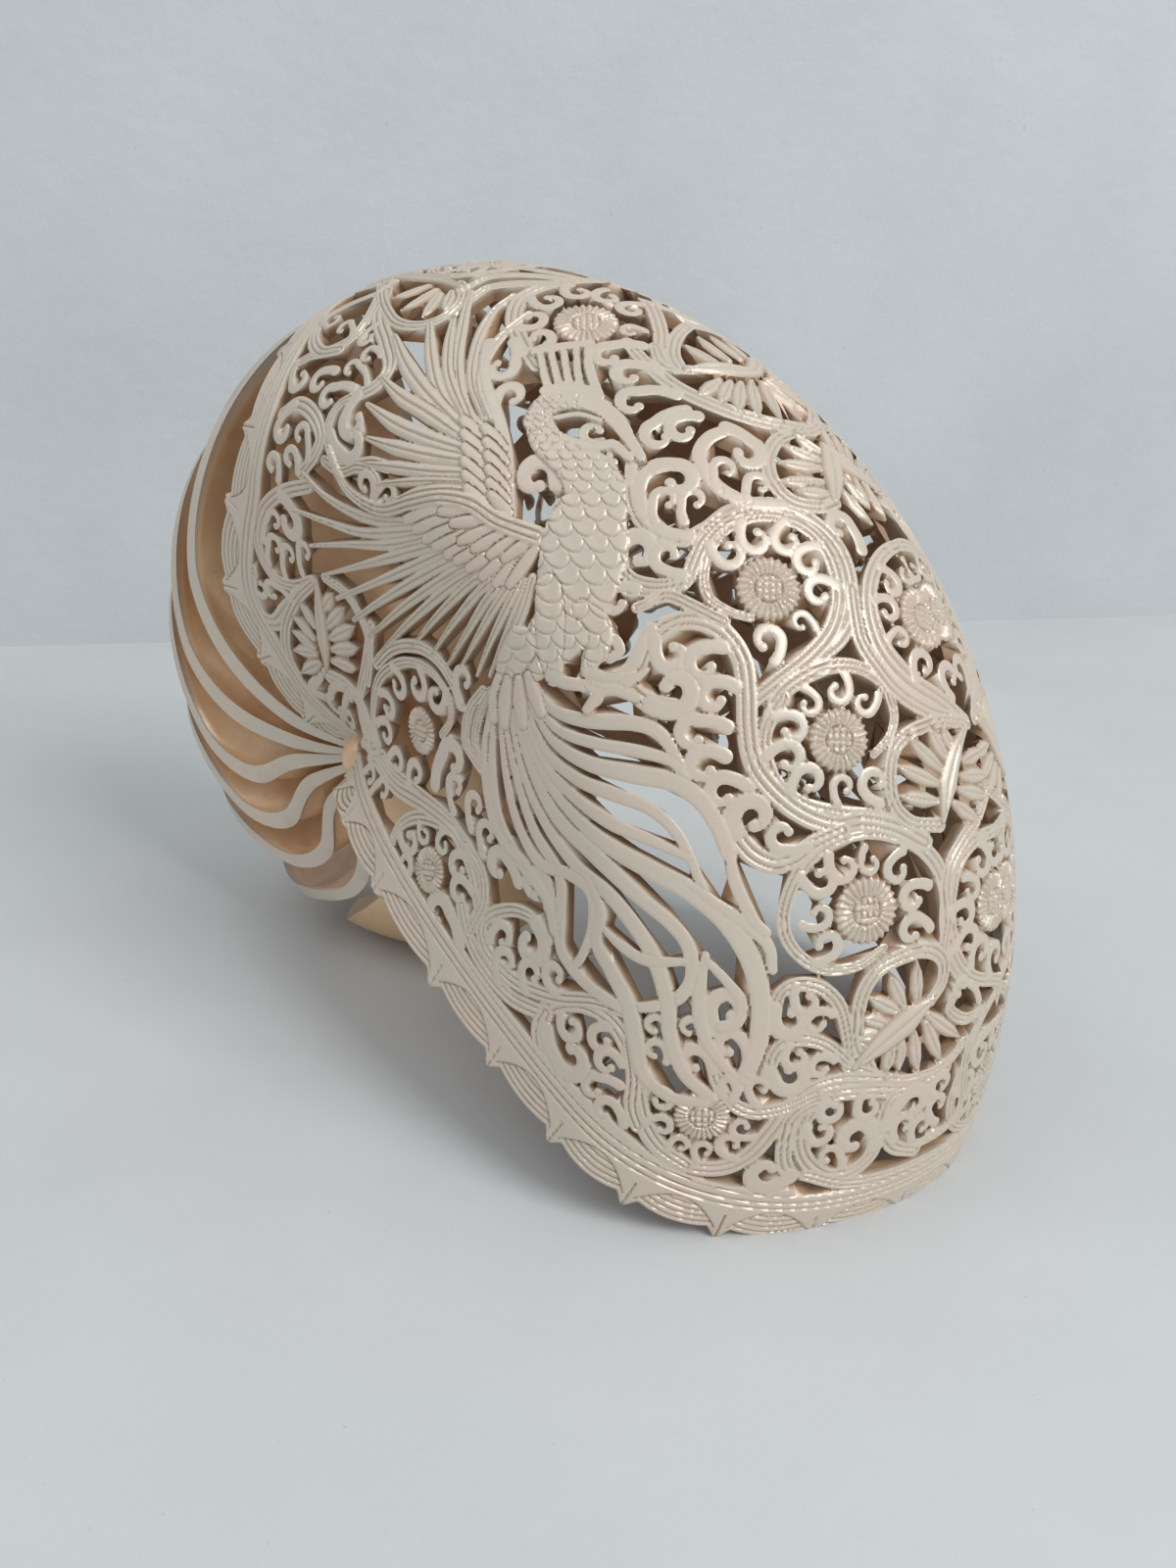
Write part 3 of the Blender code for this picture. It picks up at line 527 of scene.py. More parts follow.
class Chart:
    """Carries pixels of the photograph onto the shell's surface."""

    def __init__(self):
        angle, girth = np.meshgrid(np.arange(*CHART_ANGLES), np.arange(*CHART_GIRTHS))
        points = surface(angle, girth)
        facing = np.einsum("...k,...k", normals(angle, girth), CAMERA_PLACE - points) > 0
        self.places = np.column_stack([angle[facing], girth[facing]])
        self.pixels = to_pixels(points[facing])

    def find(self, pixels):
        """(spiral angle, girth) of each pixel, by Newton steps from the nearest known place."""
        pixels = np.atleast_2d(np.asarray(pixels, float))
        gap = ((pixels[:, None] - self.pixels[None]) ** 2).sum(2)
        place = self.places[gap.argmin(1)].copy()
        step = 0.02
        rounds = 6
        largest_move = 3
        for _ in range(rounds):
            here = to_pixels(surface(place[:, 0], place[:, 1]))
            by_angle = (to_pixels(surface(place[:, 0] + step, place[:, 1])) - here) / step
            by_girth = (to_pixels(surface(place[:, 0], place[:, 1] + step)) - here) / step
            miss = pixels - here
            scale = by_angle[:, 0] * by_girth[:, 1] - by_girth[:, 0] * by_angle[:, 1]
            scale = np.where(np.abs(scale) < 1.0, np.sign(scale) + (scale == 0), scale)
            move = np.column_stack([
                miss[:, 0] * by_girth[:, 1] - by_girth[:, 0] * miss[:, 1],
                by_angle[:, 0] * miss[:, 1] - miss[:, 0] * by_angle[:, 1],
            ]) / scale[:, None]
            place += np.clip(move, -largest_move, largest_move)
        return place


CHART = Chart()


def curve(points):
    """A smooth curve through pixels, sampled every few pixels."""
    spacing = 3.0
    points = np.asarray(points, float)
    if len(points) == 2:
        points = np.array([points[0], points.mean(0), points[1]])
    first, last = 2 * points[0] - points[1], 2 * points[-1] - points[-2]
    padded = np.concatenate([[first], points, [last]])
    made = []
    for a, b, c, d in zip(padded, padded[1:], padded[2:], padded[3:]):
        steps = max(2, int(np.linalg.norm(c - b) / spacing))
        t = np.linspace(0, 1, steps, endpoint=False)[:, None]
        made.append(0.5 * (2 * b + (c - a) * t + (2 * a - 5 * b + 4 * c - d) * t**2
                           + (3 * b - a - 3 * c + d) * t**3))
    made.append(padded[-2:-1])
    return np.concatenate(made)


# The grid: rows run round the girth from the keel to the umbilicus of the near flank, columns along the
# spiral. The first row lies on the keel itself. GAP is how far inside the carving each point is, HEIGHT its
# relief, and CUT_IN how deep it is cut, all in millimetres; CUT_IN also sets the painted shade in the cut
# lines.
COLUMNS = int(np.radians(LAST_ANGLE - FIRST_ANGLE) * GRID_LENGTH / GRID_STEP)
ROWS = int(GRID_HEIGHT / GRID_STEP)
GRID_ANGLE = np.linspace(FIRST_ANGLE, LAST_ANGLE, COLUMNS)[None, :] + np.zeros((ROWS, 1))
GRID_GIRTH = np.linspace(0.0, -LAST_GIRTH, ROWS)[:, None] + np.zeros((1, COLUMNS))
GRID_GIRTH[0] = -1e-6
POINTS = surface(GRID_ANGLE, GRID_GIRTH)
NORMALS = normals(GRID_ANGLE, GRID_GIRTH)
POINTS[0, :, 1] = 0.0
PIXELS = to_pixels(POINTS)
GAP = np.full(POINTS.shape[:2], OPEN)
HEIGHT = np.zeros(POINTS.shape[:2])
CUT_IN = np.zeros(POINTS.shape[:2])


def window(places, reach):
    """The rows and columns of the grid within reach, in millimetres, of some places."""
    least_radius, girth_radius = 0.06, 0.32
    angle, girth = places[:, 0], -np.abs(places[:, 1])
    radius, _ = section(girth)
    size = spiral(angle)
    wide = np.degrees(reach / (size * np.maximum(radius, least_radius)))
    tall = np.degrees(reach / (size * girth_radius))
    per_angle = (COLUMNS - 1) / (LAST_ANGLE - FIRST_ANGLE)
    per_girth = (ROWS - 1) / LAST_GIRTH
    left = int(max(0, ((angle - wide).min() - FIRST_ANGLE) * per_angle))
    right = int(min(COLUMNS, ((angle + wide).max() - FIRST_ANGLE) * per_angle + 2))
    top = int(max(0, (-(girth + tall).max()) * per_girth))
    bottom = int(min(ROWS, (-(girth - tall).min()) * per_girth + 2))
    return slice(top, max(top, bottom)), slice(left, max(left, right))


class Trace:
    """How points of the grid lie to a path: distance, side, length along it and share of its length."""

    FAR_OFF = 1e3
    STRETCH = 6

    def __init__(self, places, reach):
        places = np.asarray(places, float)
        self.where = window(places, reach)
        shape = GAP[self.where].shape
        self.distance = np.full(shape, self.FAR_OFF)
        self.side = np.ones(shape)
        self.run = np.zeros(shape)
        points = surface(places[:, 0], places[:, 1])
        step = np.linalg.norm(np.diff(points, axis=0), axis=1)
        before = np.concatenate([[0], np.cumsum(step)])
        rows, columns = self.where
        for first in range(0, len(points) - 1, self.STRETCH):
            part = slice(first, min(first + self.STRETCH + 1, len(points)))
            sub_rows, sub_columns = window(places[part], reach)
            area = (slice(sub_rows.start - rows.start, sub_rows.stop - rows.start),
                    slice(sub_columns.start - columns.start, sub_columns.stop - columns.start))
            here = POINTS[sub_rows, sub_columns]
            if here.size == 0:
                continue
            self.measure(area, here, NORMALS[sub_rows, sub_columns], points[part], before[part])
        self.share = self.run / max(step.sum(), 1e-6)

    def measure(self, area, here, normal, points, before):
        """Takes in one stretch of the path."""
        starts, legs = points[:-1], np.diff(points, axis=0)
        square = (legs**2).sum(1) + 1e-12
        to_here = here[..., None, :] - starts
        along = (to_here * legs).sum(-1)
        t = np.clip(along / square, 0, 1)
        gap = (to_here**2).sum(-1) - 2 * t * along + t**2 * square
        best = gap.argmin(-1)
        pick = np.take_along_axis(gap, best[..., None], -1)[..., 0]
        distance = np.sqrt(np.maximum(pick, 0))
        t = np.take_along_axis(t, best[..., None], -1)[..., 0]
        leg = legs[best]
        offset = np.take_along_axis(to_here, best[..., None, None], -2)[..., 0, :]
        side = np.sign((np.cross(leg, offset) * normal).sum(-1))
        closer = distance < self.distance[area]
        self.distance[area] = np.where(closer, distance, self.distance[area])
        self.side[area] = np.where(closer, np.where(side == 0, 1, side), self.side[area])
        run = before[:-1][best] + t * np.sqrt(square[best])
        self.run[area] = np.where(closer, run, self.run[area])


def lay(where, gap, height, level=0.0):
    """Lays a form on the wall: gap is how far inside it each point is, height its relief above a level.

    The points just outside it take its relief too, where no other form has them or comes nearer.
    """
    free = (GAP[where] <= 0) & (gap > -RIM) & (gap >= GAP[where])
    drawn = (gap > 0) | free
    HEIGHT[where] = np.where(drawn, height + level, HEIGHT[where])
    CUT_IN[where] = np.where(drawn, -height, CUT_IN[where])
    GAP[where] = np.maximum(GAP[where], gap)


def rounded(across):
    """A flat back with softened edges."""
    return -0.14 * np.abs(across) ** 6


def groove(across, at, width, depth):
    """A cut line beside the middle, on both sides."""
    return -depth * np.exp(-(((np.abs(across) - at) / width) ** 2))


def cut_line(off, width, depth):
    """A cut line where a distance is nil."""
    return -depth * np.exp(-((off / width) ** 2))


# Reliefs in millimetres, by the place across a stroke (-1 to 1), its width there and the pixel seen
def stem_relief(across, wide, pixels):
    """Two cut lines along a rounded stem, shallower where it is slim."""
    return rounded(across) + groove(across, at=0.38, width=0.11, depth=0.34 * np.clip(wide / 1.8, 0.3, 1))


def plain_relief(across, wide, pixels):
    """A smooth stroke."""
    return rounded(across)


def covert_relief(across, wide, pixels):
    """A short plump feather."""
    return -0.5 * np.abs(across) ** 4


def vein_relief(across, wide, pixels):
    """A leaf with one vein."""
    return -0.5 * np.abs(across) ** 2.2 + groove(across, at=0.0, width=0.16, depth=0.3)


def feather_relief(across, wide, pixels):
    """A feather with one line cut along it."""
    return -0.3 * np.abs(across) ** 3 + groove(across, at=0.0, width=0.14, depth=0.3)


def scale_relief(across, wide, pixels):
    """Rows of overlapping rounded scales that grow from the bird's head to its chest."""
    height = np.full(across.shape, -0.2)
    last = np.searchsorted(SCALE_ROWS, pixels[..., 1]) - 1
    for back in range(3):
        row = np.clip(last - back, 0, len(SCALE_ROWS) - 1)
        top, pitch = SCALE_ROWS[row], SCALE_PITCHES[row]
        lean = SCALE_LEAN * (pixels[..., 1] - SCALE_LEAN_FROM)
        offset = (pixels[..., 0] - lean) / pitch + 0.5 * (row % 2)
        down = (pixels[..., 1] - top) / pitch - 0.3
        reach = np.hypot((offset - np.round(offset)) * 1.75, down * 1.35)
        form = 0.14 * reach**2 - 0.3 * np.exp(-(((reach - 0.93) / 0.07) ** 2)) - 0.05
        height = np.where(reach < 1, form, height)
    return height - 0.28 * np.abs(across) ** 8


def scale_rows():
    """Where each row of the bird's scales starts, down the photograph, and how wide its scales are."""
    rows, pitches = [SCALES_FROM], []
    while rows[-1] < SCALES_TO:
        pitches.append(float(np.interp(rows[-1], SCALE_HEIGHTS, SCALE_WIDTHS)))
        rows.append(rows[-1] + SCALE_STEP * pitches[-1])
    return np.array(rows[:-1]), np.array(pitches)


SCALE_ROWS, SCALE_PITCHES = scale_rows()
RELIEFS = {
    "stem": stem_relief, "plain": plain_relief, "vein": vein_relief, "feather": feather_relief,
    "covert": covert_relief, "scales": scale_relief,
}


def widths_along(widths, share):
    """Half widths between the values given along a stroke."""
    widths = np.asarray(widths, float)
    return np.interp(share, np.linspace(0, 1, len(widths)), widths / 2)


def stroke_on(places, widths, relief="stem", level=0.0):
    """A stroke along places on the surface; widths are full widths in millimetres."""
    spare, least_half = 0.9, 0.05
    trace = Trace(places, np.max(widths) / 2 + spare)
    half = widths_along(widths, trace.share)
    across = np.clip(trace.distance / np.maximum(half, least_half), 0, 1) * trace.side
    height = RELIEFS[relief](across, half * 2, PIXELS[trace.where])
    lay(trace.where, half - trace.distance, height, level)


def stroke(pixels, widths, relief, level):
    """A stroke through pixels of the photograph."""
    places = CHART.find(curve(pixels))
    stroke_on(places, np.array(widths) * nearness(places), relief, level)


class Patch:
    """A flat frame on the surface about one place, for forms that are easier to draw flat."""

    def __init__(self, place, reach):
        self.place = np.asarray(place, float)
        angle, girth = self.place
        self.centre = surface(angle, girth)
        self.normal = normals(angle, girth)
        right = CAMERA_RIGHT - self.normal * (CAMERA_RIGHT @ self.normal)
        self.right = right / np.linalg.norm(right)
        self.up = np.cross(self.normal, self.right)
        if self.up @ CAMERA_UP < 0:
            self.up = -self.up
        self.where = window(self.place[None], reach * 1.1)
        offset = POINTS[self.where] - self.centre
        self.x = offset @ self.right
        self.y = offset @ self.up
        self.radius = np.hypot(self.x, self.y)
        self.turn = np.arctan2(self.y, self.x)

    def flat(self, place):
        """Where a place on the surface falls in this frame."""
        offset = surface(*place) - self.centre
        return np.array([offset @ self.right, offset @ self.up])

    def places(self, flat):
        """Places on the surface under flat points of this frame."""
        flat = np.atleast_2d(np.asarray(flat, float))
        angle, girth = self.place
        step = 0.1
        rounds = 3
        by_angle = (surface(angle + step, girth) - self.centre) / step
        by_girth = (surface(angle, girth + step) - self.centre) / step
        matrix = np.array([[by_angle @ self.right, by_girth @ self.right],
                           [by_angle @ self.up, by_girth @ self.up]])
        inverse = np.linalg.inv(matrix)
        place = self.place + flat @ inverse.T
        target = self.centre + flat[:, :1] * self.right + flat[:, 1:] * self.up
        for _ in range(rounds):
            miss = target - surface(place[:, 0], place[:, 1])
            flat_miss = np.column_stack([miss @ self.right, miss @ self.up])
            place = place + flat_miss @ inverse.T
        return place


def around(turn):
    """Unit points at some turns."""
    return np.column_stack([np.cos(turn), np.sin(turn)])


def spiral_hook(patch, start, hand, size, thick):
    """A comma: a stem that runs in from a start and winds round the patch's centre, ending in a bead."""
    length = np.linalg.norm(start)
    base = math.atan2(start[1], start[0])
    turns = np.linspace(0, 1, 26)
    angle = base + hand * CURL_LEAD + hand * turns * math.radians(CURL_TURN)
    radius = size * (1 - CURL_CLOSING * turns**1.3)
    wound = around(angle) * radius[:, None]
    share = np.linspace(0, 1, 9)[:-1]
    reach = length + (size - length) * share * (2 - share)
    lead_in = around(base + hand * CURL_LEAD * share) * reach[:, None]
    stroke_on(patch.places(np.concatenate([lead_in, wound])), thick, "plain")
    bead = Patch(patch.places(wound[-1])[0], size)
    bead_size = size * CURL_BEAD
    lay(bead.where, bead_size - bead.radius, rounded(np.clip(bead.radius / bead_size, 0, 1)))


def curl(start, eye, hand, size):
    """A curl from one pixel round another; hand 1 winds anticlockwise as seen in the photograph."""
    ends = CHART.find([start, eye])
    thick = CURL_WIDTHS * min(1.0, 0.5 + 0.19 * size)
    size = size * nearness(ends) * CURL_GAIN
    patch = Patch(ends[1], 1.0)
    spiral_hook(patch, patch.flat(ends[0]), hand, size, size * thick)


def sunflower(centre, disc, hand, eyes):
    """A sunflower: a seed head of crossed lines, a ring of petals and the curls that hold it."""
    patch = Patch(centre, disc + 2)
    for place in eyes:
        flat = patch.flat(place)
        gap = np.linalg.norm(flat)
        size = float(np.clip((gap - disc) * 0.73, *EYE_SIZES))
        at = math.atan2(flat[1], flat[0]) + hand * 0.12
        start = np.array([math.cos(at), math.sin(at)]) * (gap + size + 0.7)
        own = Patch(place, 1.0)
        spiral_hook(own, own.flat(patch.places(start)[0]), hand, size, size * EYE_WIDTH * CURL_WIDTHS)
    heart = disc * HEART
    spokes = np.cos(patch.turn * SUNFLOWER_PETALS)
    petals = 0.16 * np.sign(spokes) * np.abs(spokes) ** 0.5 * np.clip((patch.radius - heart) / 0.5, 0, 1)
    edge = disc + 0.12 * spokes
    rows = np.maximum(np.cos(patch.x * SEED_PITCH), np.cos(patch.y * SEED_PITCH))
    seeds = -0.34 * np.clip(rows, 0, 1) ** 2
    height = np.where(patch.radius < heart, seeds, petals - 0.14)
    height += cut_line(patch.radius - heart, width=0.14, depth=0.3)
    height -= 0.3 * np.clip((patch.radius - disc * RIM_START) / (disc * RIM_WIDTH), 0, 1) ** 3
    lay(patch.where, edge - patch.radius, height, SUNFLOWER_LEVEL)


def pixels_in(text):
    """Pixels written as x,y with spaces between them."""
    return [tuple(float(part) for part in word.split(",")) for word in text.split()]


def draw_strokes(text, level=0.0):
    """Strokes written one to a line: kind and widths, then pixels."""
    for line in text.splitlines():
        head, path = line.split("|")
        kind, *widths = head.split()
        stroke(pixels_in(path), [float(width) for width in widths], kind, level)


def draw_darts(text, widths, kind, level):
    """Short strokes of one width written as pairs of pixels."""
    for dart in text.split():
        stroke(pixels_in(dart.replace(">", " ")), widths, kind, level)


def draw_curls(text):
    """Curls written one hand and size to a line."""
    for line in text.splitlines():
        head, spots = line.split("|")
        hand, size = head.split()
        for spot in spots.split():
            curl(*pixels_in(spot.replace(">", " ")), int(hand + "1"), float(size))


def draw_sunflowers(text):
    """Sunflowers written one to a line."""
    for line in text.splitlines():
        head, centre, eyes = line.split("|")
        hand, disc = head.split()
        place = CHART.find(pixels_in(centre))
        sunflower(place[0], float(disc) * nearness(place), int(hand + "1"), CHART.find(pixels_in(eyes)))


def medallion(angle, ring, disc):
    """A sunflower on the keel inside a ring of curls."""
    patch = Patch((angle, -0.01), 1.0)
    stroke_on(patch.places(around(np.linspace(0, 2 * math.pi, 61)) * ring), (2.0, 2.0))
    turns = (np.arange(MEDALLION_CURLS) + 0.5) * 2 * math.pi / MEDALLION_CURLS
    sunflower(patch.place, disc, 1, patch.places(around(turns) * (ring + disc) / 2))


def softened(gap, width):
    """How far the edge of the band is rounded off, over a width from it."""
    return 0.45 * np.clip(1 - gap / width, 0, 1) ** 2


def border(angle_of, inward, teeth):
    """The toothed band along an edge, and how far inside the edge each point is."""
    path = np.column_stack([angle_of(EDGE_GIRTHS), EDGE_GIRTHS])
    trace = Trace(path, EDGE_REACH)
    points = surface(path[:, 0], path[:, 1])
    run = np.concatenate([[0], np.cumsum(np.linalg.norm(np.diff(points, axis=0), axis=1))])
    slope = (run[-1] - run[-2]) / (path[-2, 1] - path[-1, 1])
    tooth_runs = np.interp(-np.array(teeth, float), -path[:, 1], run, left=np.nan, right=np.nan)
    tooth_runs[0] = -tooth_runs[2] if teeth[1] == 0 else -tooth_runs[1]
    tooth_runs[-1] = run[-1] + slope * (path[-1, 1] - teeth[-1])
    depth = trace.distance * trace.side * inward
    beat = np.interp(trace.run, tooth_runs, np.arange(len(teeth)))
    before = np.clip(beat.astype(int), 0, len(teeth) - 2)
    pitch = np.diff(tooth_runs)[before]
    off = np.abs(beat - np.round(beat)) * pitch
    along = (pitch / 2 - off) / (SCALLOP_SHARE * pitch)
    scallop = np.clip(1 - along**2, 0, 1)
    spike = TOOTH * (1 - off / (TOOTH_SHARE * pitch))
    reach = np.maximum(np.where(along < 1, SCALLOP * scallop**0.8, BETWEEN_SCALLOPS), spike)
    outer = depth + reach
    in_lens = (along < 1) & (depth < LENS * scallop)
    height = np.where(in_lens, LENS_LEVEL, 0.0)
    for n in range(1, ARCS + 1):
        height += in_lens * cut_line(depth + SCALLOP * scallop - n * ARC_STEP, width=0.15, depth=0.32)
    height += cut_line(depth - LENS * scallop, width=0.15, depth=0.3) * (along < 1)
    height += cut_line(off, width=0.14, depth=0.36) * (depth < TOOTH_LINE)
    for at in BAND_LINES:
        height += cut_line(depth - at, width=0.16, depth=0.4)
    band = BAND - depth
    height = height - softened(outer, 0.5) - softened(band, 0.4)
    lay(trace.where, np.minimum(outer, band), height)
    return trace.where, outer, depth


def trim(where, outer, depth):
    """Cuts away what lies beyond an edge."""
    known = np.abs(depth) < EDGE_KNOWN
    GAP[where] = np.where(known, np.minimum(GAP[where], outer), GAP[where])


def wall_limits():
    """Clears the grid beyond the lip and the septal edge, and below the floor."""
    before_lip = GRID_ANGLE < lip_angle(GRID_GIRTH) - EDGE_MARGIN
    GAP[before_lip | (GRID_ANGLE > septal_edge_angle(GRID_GIRTH) + EDGE_MARGIN)] = OPEN
    np.minimum(GAP, POINTS[..., 2], out=GAP)


def carve():
    """Carves the whole near flank, what lies behind first."""
    for angle, ring, disc in MEDALLIONS:
        medallion(angle, ring, disc)
    draw_strokes(STEMS)
    draw_curls(CURLS)
    draw_sunflowers(SUNFLOWERS)
    draw_darts(PETALS, PETAL_WIDTHS, "vein", 0.0)
    draw_strokes(BUDS, BUD_LEVEL)
    draw_strokes(TAIL, TAIL_LEVEL)
    draw_strokes(FEATHERS, FEATHER_LEVEL)
    draw_darts(COVERTS, COVERT_WIDTHS, "covert", COVERT_LEVEL)
    draw_strokes(BODY, BODY_LEVEL)
    edges = [border(lip_angle, -1, LIP_TEETH), border(septal_edge_angle, 1, SEPTAL_TEETH)]
    for edge in edges:
        trim(*edge)
    wall_limits()
    close_slits()


def grown(solid):
    """A mask grown by one cell each way."""
    padded = np.pad(solid, 1)
    rows, columns = solid.shape
    made = np.zeros_like(solid)
    for down in range(3):
        for right in range(3):
            made |= padded[down:down + rows, right:right + columns]
    return made


def close_slits():
    """Fills the hairline slits where strokes meet, leaving a groove."""
    just_inside, groove_floor = 0.04, -0.6
    solid = GAP > 0
    filled = ~grown(~grown(solid)) & ~solid
    GAP[filled] = just_inside
    HEIGHT[filled] = groove_floor


def snapped(points, gap):
    """Moves the points just outside a form onto its edge, by less than one cell."""
    most = 0.9
    by_row = np.gradient(gap, axis=0)
    by_column = np.gradient(gap, axis=1)
    row_step = np.gradient(points, axis=0)
    column_step = np.gradient(points, axis=1)
    outside = gap < 0
    slope = by_row**2 + by_column**2 + 1e-9
    pull = np.clip(-gap / slope, 0, None)
    rows = np.clip(by_row * pull, -most, most)
    columns = np.clip(by_column * pull, -most, most)
    moved = points + row_step * rows[..., None] + column_step * columns[..., None]
    return np.where(outside[..., None], moved, points)


def wall_piece(name, column_range):
    """One closed piece of the carved wall, from a range of the grid's columns."""
    rows, columns = GAP.shape
    outer_points = snapped(POINTS + NORMALS * HEIGHT[..., None], GAP)
    inner_points = snapped(POINTS - NORMALS * WALL, GAP)
    solid = GAP > 0
    cell = solid[:-1, :-1] | solid[1:, :-1] | solid[:-1, 1:] | solid[1:, 1:]
    mean_gap = (GAP[:-1, :-1] + GAP[1:, :-1] + GAP[:-1, 1:] + GAP[1:, 1:]) / 4
    cell &= mean_gap > -0.25 * GRID_STEP
    cell[:, :column_range[0]] = False
    cell[:, column_range[1]:] = False
    index = np.arange(rows * columns).reshape(rows, columns)
    a, b = index[:-1, :-1][cell], index[1:, :-1][cell]
    c, d = index[1:, 1:][cell], index[:-1, 1:][cell]
    outer = np.column_stack([a, b, c, d])
    inner = outer[:, ::-1] + rows * columns
    walls = []
    padded = np.pad(cell, 1)
    # For the cell above, below, left and right: where it starts in the padded mask, and the edge it shares
    for (row, column), (p, q) in (((0, 1), (3, 0)), ((2, 1), (1, 2)), ((1, 0), (0, 1)), ((1, 2), (2, 3))):
        neighbour = padded[row:row + rows - 1, column:column + columns - 1]
        open_side = (cell & ~neighbour)[cell]
        first, second = outer[open_side, p], outer[open_side, q]
        walls.append(np.column_stack([second, first, first + rows * columns, second + rows * columns]))
    faces = np.concatenate([outer, inner] + walls)
    used = np.unique(faces)
    lookup = np.zeros(2 * rows * columns, int)
    lookup[used] = np.arange(len(used))
    points = np.concatenate([outer_points.reshape(-1, 3), inner_points.reshape(-1, 3)])[used] * MM
    thing = make_mesh(name, points, lookup[faces])
    # A cut line deeper than about 0.14 mm gets painted shade, in part the tan of the cut faces
    painted_groove_shade = np.clip(CUT_IN * 1.3 - 0.18, 0, 0.36).ravel()
    set_depth(thing, np.concatenate([painted_groove_shade, np.ones(rows * columns)])[used])
    return thing


def set_depth(thing, values):
    """Marks how deep each point of a mesh lies: 0 outside, 1 inside. The materials read it; on the carved wall
    it also carries the painted shade of the cut lines.
    """
    layer = thing.data.attributes.new("depth", "FLOAT", "POINT")
    layer.data.foreach_set("value", np.asarray(values, np.float32))


def make_mesh(name, points, faces):
    """A mesh object from arrays of points and four-sided faces."""
    mesh = bpy.data.meshes.new(name)
    mesh.vertices.add(len(points))
    mesh.vertices.foreach_set("co", points.astype(np.float32).ravel())
    mesh.loops.add(faces.size)
    mesh.loops.foreach_set("vertex_index", faces.astype(np.int32).ravel())
    mesh.polygons.add(len(faces))
    mesh.polygons.foreach_set("loop_start", np.arange(0, faces.size, faces.shape[1], dtype=np.int32))
    mesh.update(calc_edges=True)
    mesh.validate()
    thing = bpy.data.objects.new(name, mesh)
    bpy.context.scene.collection.objects.link(thing)
    return thing


def shade(thing, sharp_from):
    """Smooth shading but for edges sharper than an angle in degrees."""
    thing.data.shade_smooth()
    thing.data.set_sharp_from_angle(angle=math.radians(sharp_from))


def thin_out(thing, limit):
    """Brings a mesh under a number of triangles, mostly from its inner side."""
    outer_weight = 0.2
    triangles = sum(len(p.vertices) - 2 for p in thing.data.polygons)
    if triangles > limit:
        modifier = thing.modifiers.new("thin_out", "DECIMATE")
        modifier.ratio = limit / triangles
        inner = thing.vertex_groups.new(name="inner")
        depths = np.zeros(len(thing.data.vertices), np.float32)
        thing.data.attributes["depth"].data.foreach_get("value", depths)
        inner.add(np.nonzero(depths > 0.5)[0].tolist(), 1.0, "REPLACE")
        inner.add(np.nonzero(depths <= 0.5)[0].tolist(), outer_weight, "REPLACE")
        modifier.vertex_group = inner.name
        modifier.vertex_group_factor = 1.0
        graph = bpy.context.evaluated_depsgraph_get()
        mesh = bpy.data.meshes.new_from_object(thing.evaluated_get(graph))
        thing.modifiers.clear()
        thing.data = mesh
    shade(thing, SHARP_FROM)


def mirrored(thing, name):
    """The same piece on the far flank."""
    mesh = thing.data.copy()
    mesh.transform(Matrix.Diagonal((1, -1, 1, 1)))
    mesh.flip_normals()
    other = bpy.data.objects.new(name, mesh)
    bpy.context.scene.collection.objects.link(other)
    return other


# Septa: the spiral angle of each one's edge at some girths, where the closed whorl behind them starts and how
# far it runs on, how far a septum bulges (degrees), how thick it is and how much more at its edge
# (millimetres), the girth over which the edge slims, and how near to the surface outside and to the whorl
# inside a septum reaches
SUTURE_GIRTHS = (0, 62, 107, 128, 168)
SEPTA = (
    (107.5, 122, 149, 160, 178),
    (127, 143, 171, 178, 192),
    (149, 163, 197, 192, 202),
    (170, 186, 218, 207, 214),
    (192, 209, 239, 225, 228),
    (218, 238, 260, 245, 244),
)
CHAMBERED_FROM = (243, 258, 277, 264, 262)
INNER_TURN = 345
SEPTUM_BULGE = 15.0
SEPTUM_THICK = 1.3
SEPTUM_EDGE = 1.9
SLIM_OVER = 62.0
JUST_WITHIN = 0.995
SEPTUM_FOOT = 0.93

# The core: sideways place and radius of its profile, as shares of KEEL_RADIUS, and its sides
COLUMELLA = ((0.214, 0.01), (0.21, 0.022), (0.195, 0.036), (0.17, 0.046))
CORE_SIDES = 40


def septum_faces(septum, girth, depth, thick):
    """Both faces of a septum, from its edge at the surface down to the whorl inside it."""
    flattest = 0.25
    room = flattest + (1 - flattest) * np.cos(np.radians(girth) / 2) ** 2
    bulge = SEPTUM_BULGE * room * np.sin(np.pi * depth**0.8)
    angle = smooth_table(SUTURE_GIRTHS, septum, np.abs(girth)) + bulge
    outer = surface(angle, girth, JUST_WITHIN) - AXIS_PLACE
    inner = surface(angle, girth, TURN_RATIO * SEPTUM_FOOT) - AXIS_PLACE
    points = outer * (1 - depth[..., None]) + inner * depth[..., None]
    radius = np.hypot(points[..., 0], points[..., 2])
    faces = []
    for shift in (1.0, 0.0):
        turn = np.radians(angle) + shift * np.minimum(thick, 0.16 * radius) / radius
        face = np.stack([radius * np.cos(turn), points[..., 1], radius * np.sin(turn)], -1)
        faces.append(face + AXIS_PLACE)
    return faces


